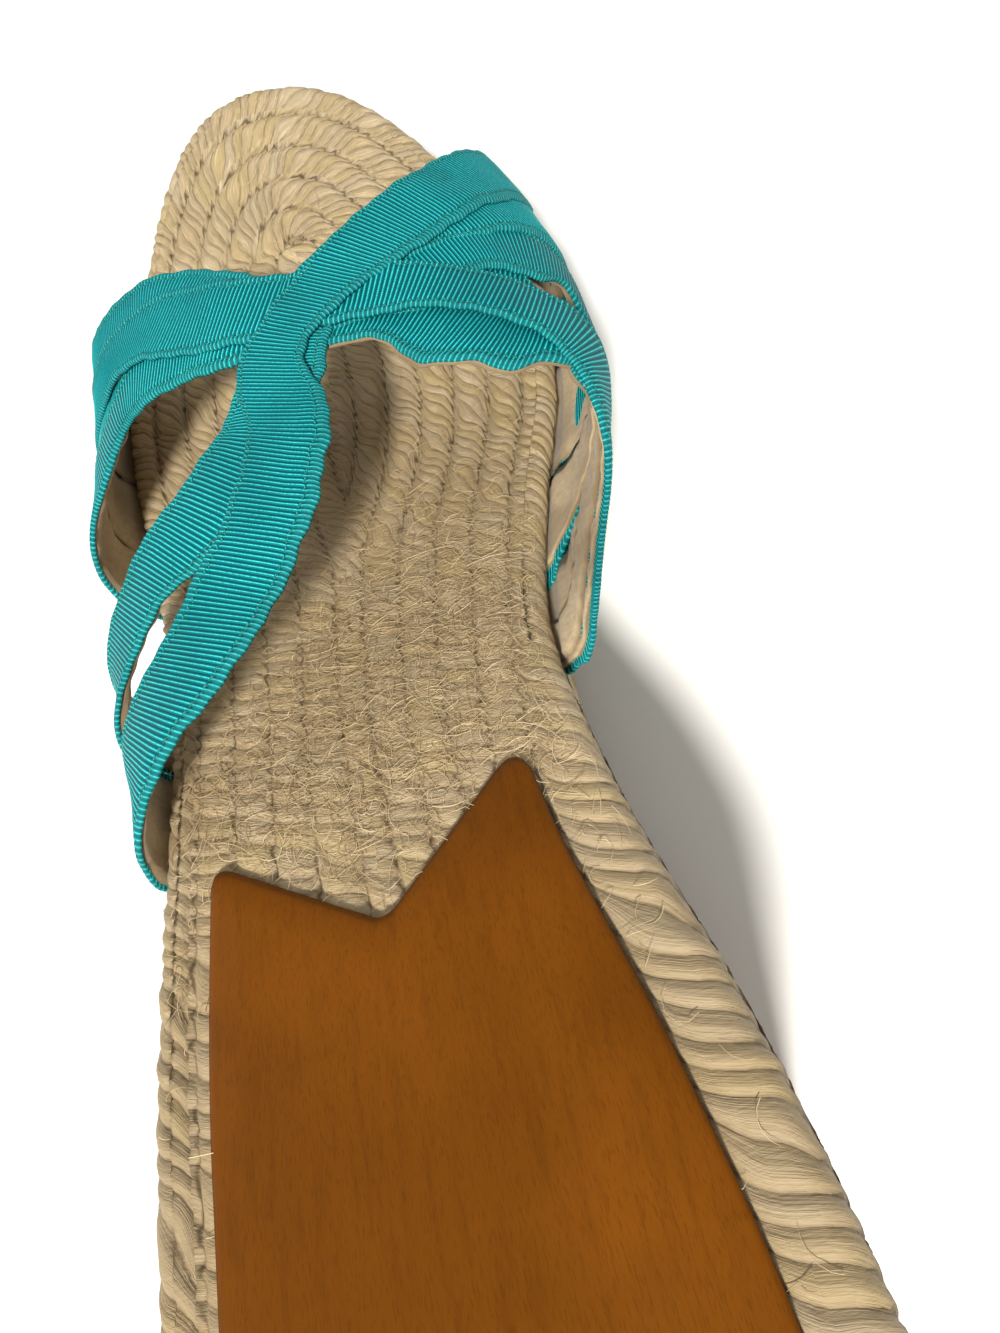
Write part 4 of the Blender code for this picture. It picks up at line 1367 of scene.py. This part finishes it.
def make_ribbons(material):
    """The ribbed face of each ribbon, with rounded edges and a sewn groove near each edge."""
    half = RIBBON_WIDTH / 2
    inner = np.array(RIBBON_COLUMNS) * MM
    offsets = np.concatenate([inner - half, half - inner[::-1]])
    from_edge = half - np.abs(offsets)
    columns = len(offsets)
    backs = [0, columns // 2, columns - 1]
    faces, pairs, points, start = [], [], [], 0
    for ribbon in RIBBONS:
        point, normal, travel, lift = ribbon_place(ribbon, offsets)
        rows = len(travel)
        ribs = RIB_RELIEF * np.cos(TURN * travel[:, None] / RIB_PITCH)
        ribs = ribs * (0.35 + 0.65 * ease(from_edge, 0, 1.0 * MM))
        seam = SEAM_DEPTH * np.exp(-(((from_edge - SEAM_INSET) / SEAM_WIDTH) ** 2))
        rolled = EDGE_ROLL * (1 - ease(from_edge, -0.1 * MM, 0.55 * MM))
        front = point + normal * (lift + LINING_SKIN + RIBBON_SKIN + ribs - seam - rolled)[..., None]
        sunk = lift[:, backs] + LINING_SKIN - RIBBON_BACK_SINK
        back = point[:, backs] + normal[:, backs] * sunk[..., None]
        faces.append(start + ribbon_faces(rows, columns, len(backs)))
        points += [front.reshape(-1, 3), back.reshape(-1, 3)]
        for across in (offsets, offsets[backs]):
            width_share = across / RIBBON_WIDTH + 0.5 + ribbon.layer
            width_share = np.clip(width_share, ribbon.layer + 0.001, ribbon.layer + 0.999)
            u, v = np.meshgrid(travel / RIB_PITCH, width_share, indexing="ij")
            pairs.append(np.stack([u, v], -1).reshape(-1, 2))
        start += rows * (columns + len(backs))
    quads, pairs = np.concatenate(faces), np.concatenate(pairs)
    piece = add_mesh("upper_ribbons", np.concatenate(points), quads, material, pairs[quads], "weave")
    finish_piece(piece, "grosgrain", "upper")


def make_lining(material):
    """The backing of each ribbon, a little narrower than it, but showing behind the front sweep."""
    half = RIBBON_WIDTH / 2
    thinned = np.zeros(LINING_COLUMNS)
    thinned[[0, -1]] = LINING_RIM_THINNED
    faces, points, edges, start = [], [], [], 0
    for ribbon in RIBBONS:
        offsets = np.linspace(-1, 1, LINING_COLUMNS) * (half - LINING_INSET)
        offsets[0] = -half + LINING_REAR_INSETS.get(ribbon.name, LINING_INSET)
        front_edges = {} if ribbon.name == "inner_band" else FRONT_EDGES
        placed = ribbon_place(ribbon, offsets, front_edges)
        point, normal, travel, lift = (values[::RIB_SAMPLES] for values in placed)
        random = np.random.default_rng(LINING_SEED + ribbon.layer)
        folds = np.zeros_like(lift)
        for wave in FOLD_WAVES:
            turn = travel[:, None] / wave + offsets / FOLD_SKEW + random.random()
            folds += LINING_FOLD * (1 + np.sin(TURN * turn))
        low = point + normal * (lift - LINING_SINK + folds + thinned)[..., None]
        high = point + normal * (lift + LINING_SKIN)[..., None]
        rows, columns = lift.shape
        faces.append(strip(rows, columns, start))
        points += [low.reshape(-1, 3), high.reshape(-1, 3)]
        rim = np.zeros((2 * rows, columns))
        rim[:, [0, -1]] = 1
        edges.append(rim.ravel())
        start += 2 * lift.size
    values = {"edge": np.concatenate(edges)}
    points, faces = np.concatenate(points), np.concatenate(faces)
    finish_piece(add_mesh("upper_lining", points, faces, material, values=values), "grosgrain")


def make_stitches(material):
    """A row of small slanted stitches along both edges of each ribbon."""
    share = np.linspace(0, 1, STITCH_STEPS)
    arch = STITCH_ARCH * np.sin(math.pi * share) ** 0.5 - STITCH_SINK
    line_in = RIBBON_WIDTH / 2 - SEAM_INSET

    def read(at, travel, columns):
        return np.stack([np.interp(at, travel, values) for values in columns.T], -1)

    paths = []
    for ribbon in RIBBONS:
        for sign in (-1, 1):
            offsets = sign * np.array([line_in - STITCH_SLANT, line_in + STITCH_SLANT])
            point, normal, travel, lift = ribbon_place(ribbon, offsets)
            starts = np.arange(STITCH_START, travel[-1] - STITCH_START, STITCH_PITCH)
            at = starts[:, None] + share * STITCH_LENGTH
            sides = []
            for edge in range(2):
                high = np.interp(at, travel, lift[:, edge]) + LINING_SKIN + RIBBON_SKIN - SEAM_DEPTH + arch
                out = read(at, travel, normal[:, edge])
                sides.append(read(at, travel, point[:, edge]) + out * high[..., None])
            paths.append(sides[0] * (1 - share)[:, None] + sides[1] * share[:, None])
    paths = np.concatenate(paths)
    radii = np.tile(STITCH_RADIUS * (0.45 + 0.55 * np.sin(math.pi * share)), (len(paths), 1))
    points, quads, pair = tubes(paths, radii, STITCH_SIDES)
    finish_piece(add_mesh("upper_stitches", points, quads, material, pair, "weave"), "grosgrain")


# Stage, light and camera


def add_area_light(name, place_at, aim, size, power, tint):
    """A round light at a place, aimed at a point."""
    data = bpy.data.lights.new(name, "AREA")
    data.shape = "DISK"
    data.size = size
    data.energy = power
    data.color = tint
    light = bpy.data.objects.new(name, data)
    light.location = place_at
    light.rotation_mode = "QUATERNION"
    light.rotation_quaternion = (Vector(aim) - Vector(place_at)).to_track_quat("-Z", "Y")
    bpy.context.scene.collection.objects.link(light)


def make_stage():
    """White floor, even light all round, a warm key light and a weak fill light."""
    paint = Nodes("floor_paint").set(Base_Color=colour(244, 243, 240), Roughness=0.9)
    mesh = bpy.data.meshes.new("floor")
    half, level = FLOOR_HALF, FLOOR_LEVEL
    corners = [(-half, -half, level), (half, -half, level), (half, half, level), (-half, half, level)]
    mesh.from_pydata(corners, [], [(0, 1, 2, 3)])
    mesh.materials.append(paint)
    ground = bpy.data.objects.new("floor", mesh)
    bpy.context.scene.collection.objects.link(ground)
    world = bpy.data.worlds.new("studio")
    world.use_nodes = True
    background = world.node_tree.nodes["Background"]
    background.inputs["Color"].default_value = (1.0, 1.0, 1.0, 1.0)
    background.inputs["Strength"].default_value = WORLD_STRENGTH
    bpy.context.scene.world = world
    add_area_light("key", (-0.14, -0.66, 1.0), (0, 0.03, 0.03), 0.15, 20, (1.0, 0.97, 0.92))
    add_area_light("fill", (-0.7, 0.5, 0.9), (0, 0, 0.04), 0.9, 2.5, (0.96, 0.98, 1.0))
    bpy.context.scene.view_settings.view_transform = "Standard"


def make_camera():
    """The photograph's view: close above the heel, looking down to the toe, with a rolled frame."""
    yaw, pitch, roll = (math.radians(angle) for angle in (CAMERA_YAW, CAMERA_PITCH, CAMERA_ROLL))
    ahead = Vector((math.sin(yaw) * math.cos(pitch), math.cos(yaw) * math.cos(pitch), -math.sin(pitch)))
    right = Vector((math.cos(yaw), -math.sin(yaw), 0))
    up = right.cross(ahead)
    rolled_right = math.cos(roll) * right + math.sin(roll) * up
    rolled_up = -math.sin(roll) * right + math.cos(roll) * up
    data = bpy.data.cameras.new("photo_camera")
    data.sensor_fit = "AUTO"
    data.sensor_width = SENSOR_WIDTH
    data.lens = CAMERA_FOCAL / max(PHOTO_SIZE) * data.sensor_width
    data.clip_start = CLIP_START
    camera = bpy.data.objects.new("photo_camera", data)
    turn = Matrix((rolled_right, rolled_up, -ahead)).transposed()
    camera.matrix_world = Matrix.Translation(Vector(CAMERA_PLACE) + Vector(SHIFT)) @ turn.to_4x4()
    bpy.context.scene.collection.objects.link(camera)
    bpy.context.scene.camera = camera


make_camera()
make_stage()
jute = jute_material("jute_rope", colour(211, 191, 155), colour(180, 155, 115), colour(80, 62, 36))
make_footbed(jute)
make_wedge(jute)
make_fibres(fibre_material("jute_fibre", colour(228, 208, 165), colour(170, 140, 96)))
make_sock(leather_material("leather", colour(122, 68, 13), colour(103, 57, 10), colour(60, 31, 6)))
make_outsole(rubber_material("rubber", colour(176, 142, 100), colour(140, 108, 72)))
make_ribbons(grosgrain_material("grosgrain", colour(72, 226, 224), colour(0, 112, 118), colour(0, 74, 80)))
make_lining(lining_material("lining", colour(196, 176, 140), colour(142, 119, 84)))
make_stitches(thread_material("teal_thread", colour(70, 168, 158), colour(8, 104, 100)))
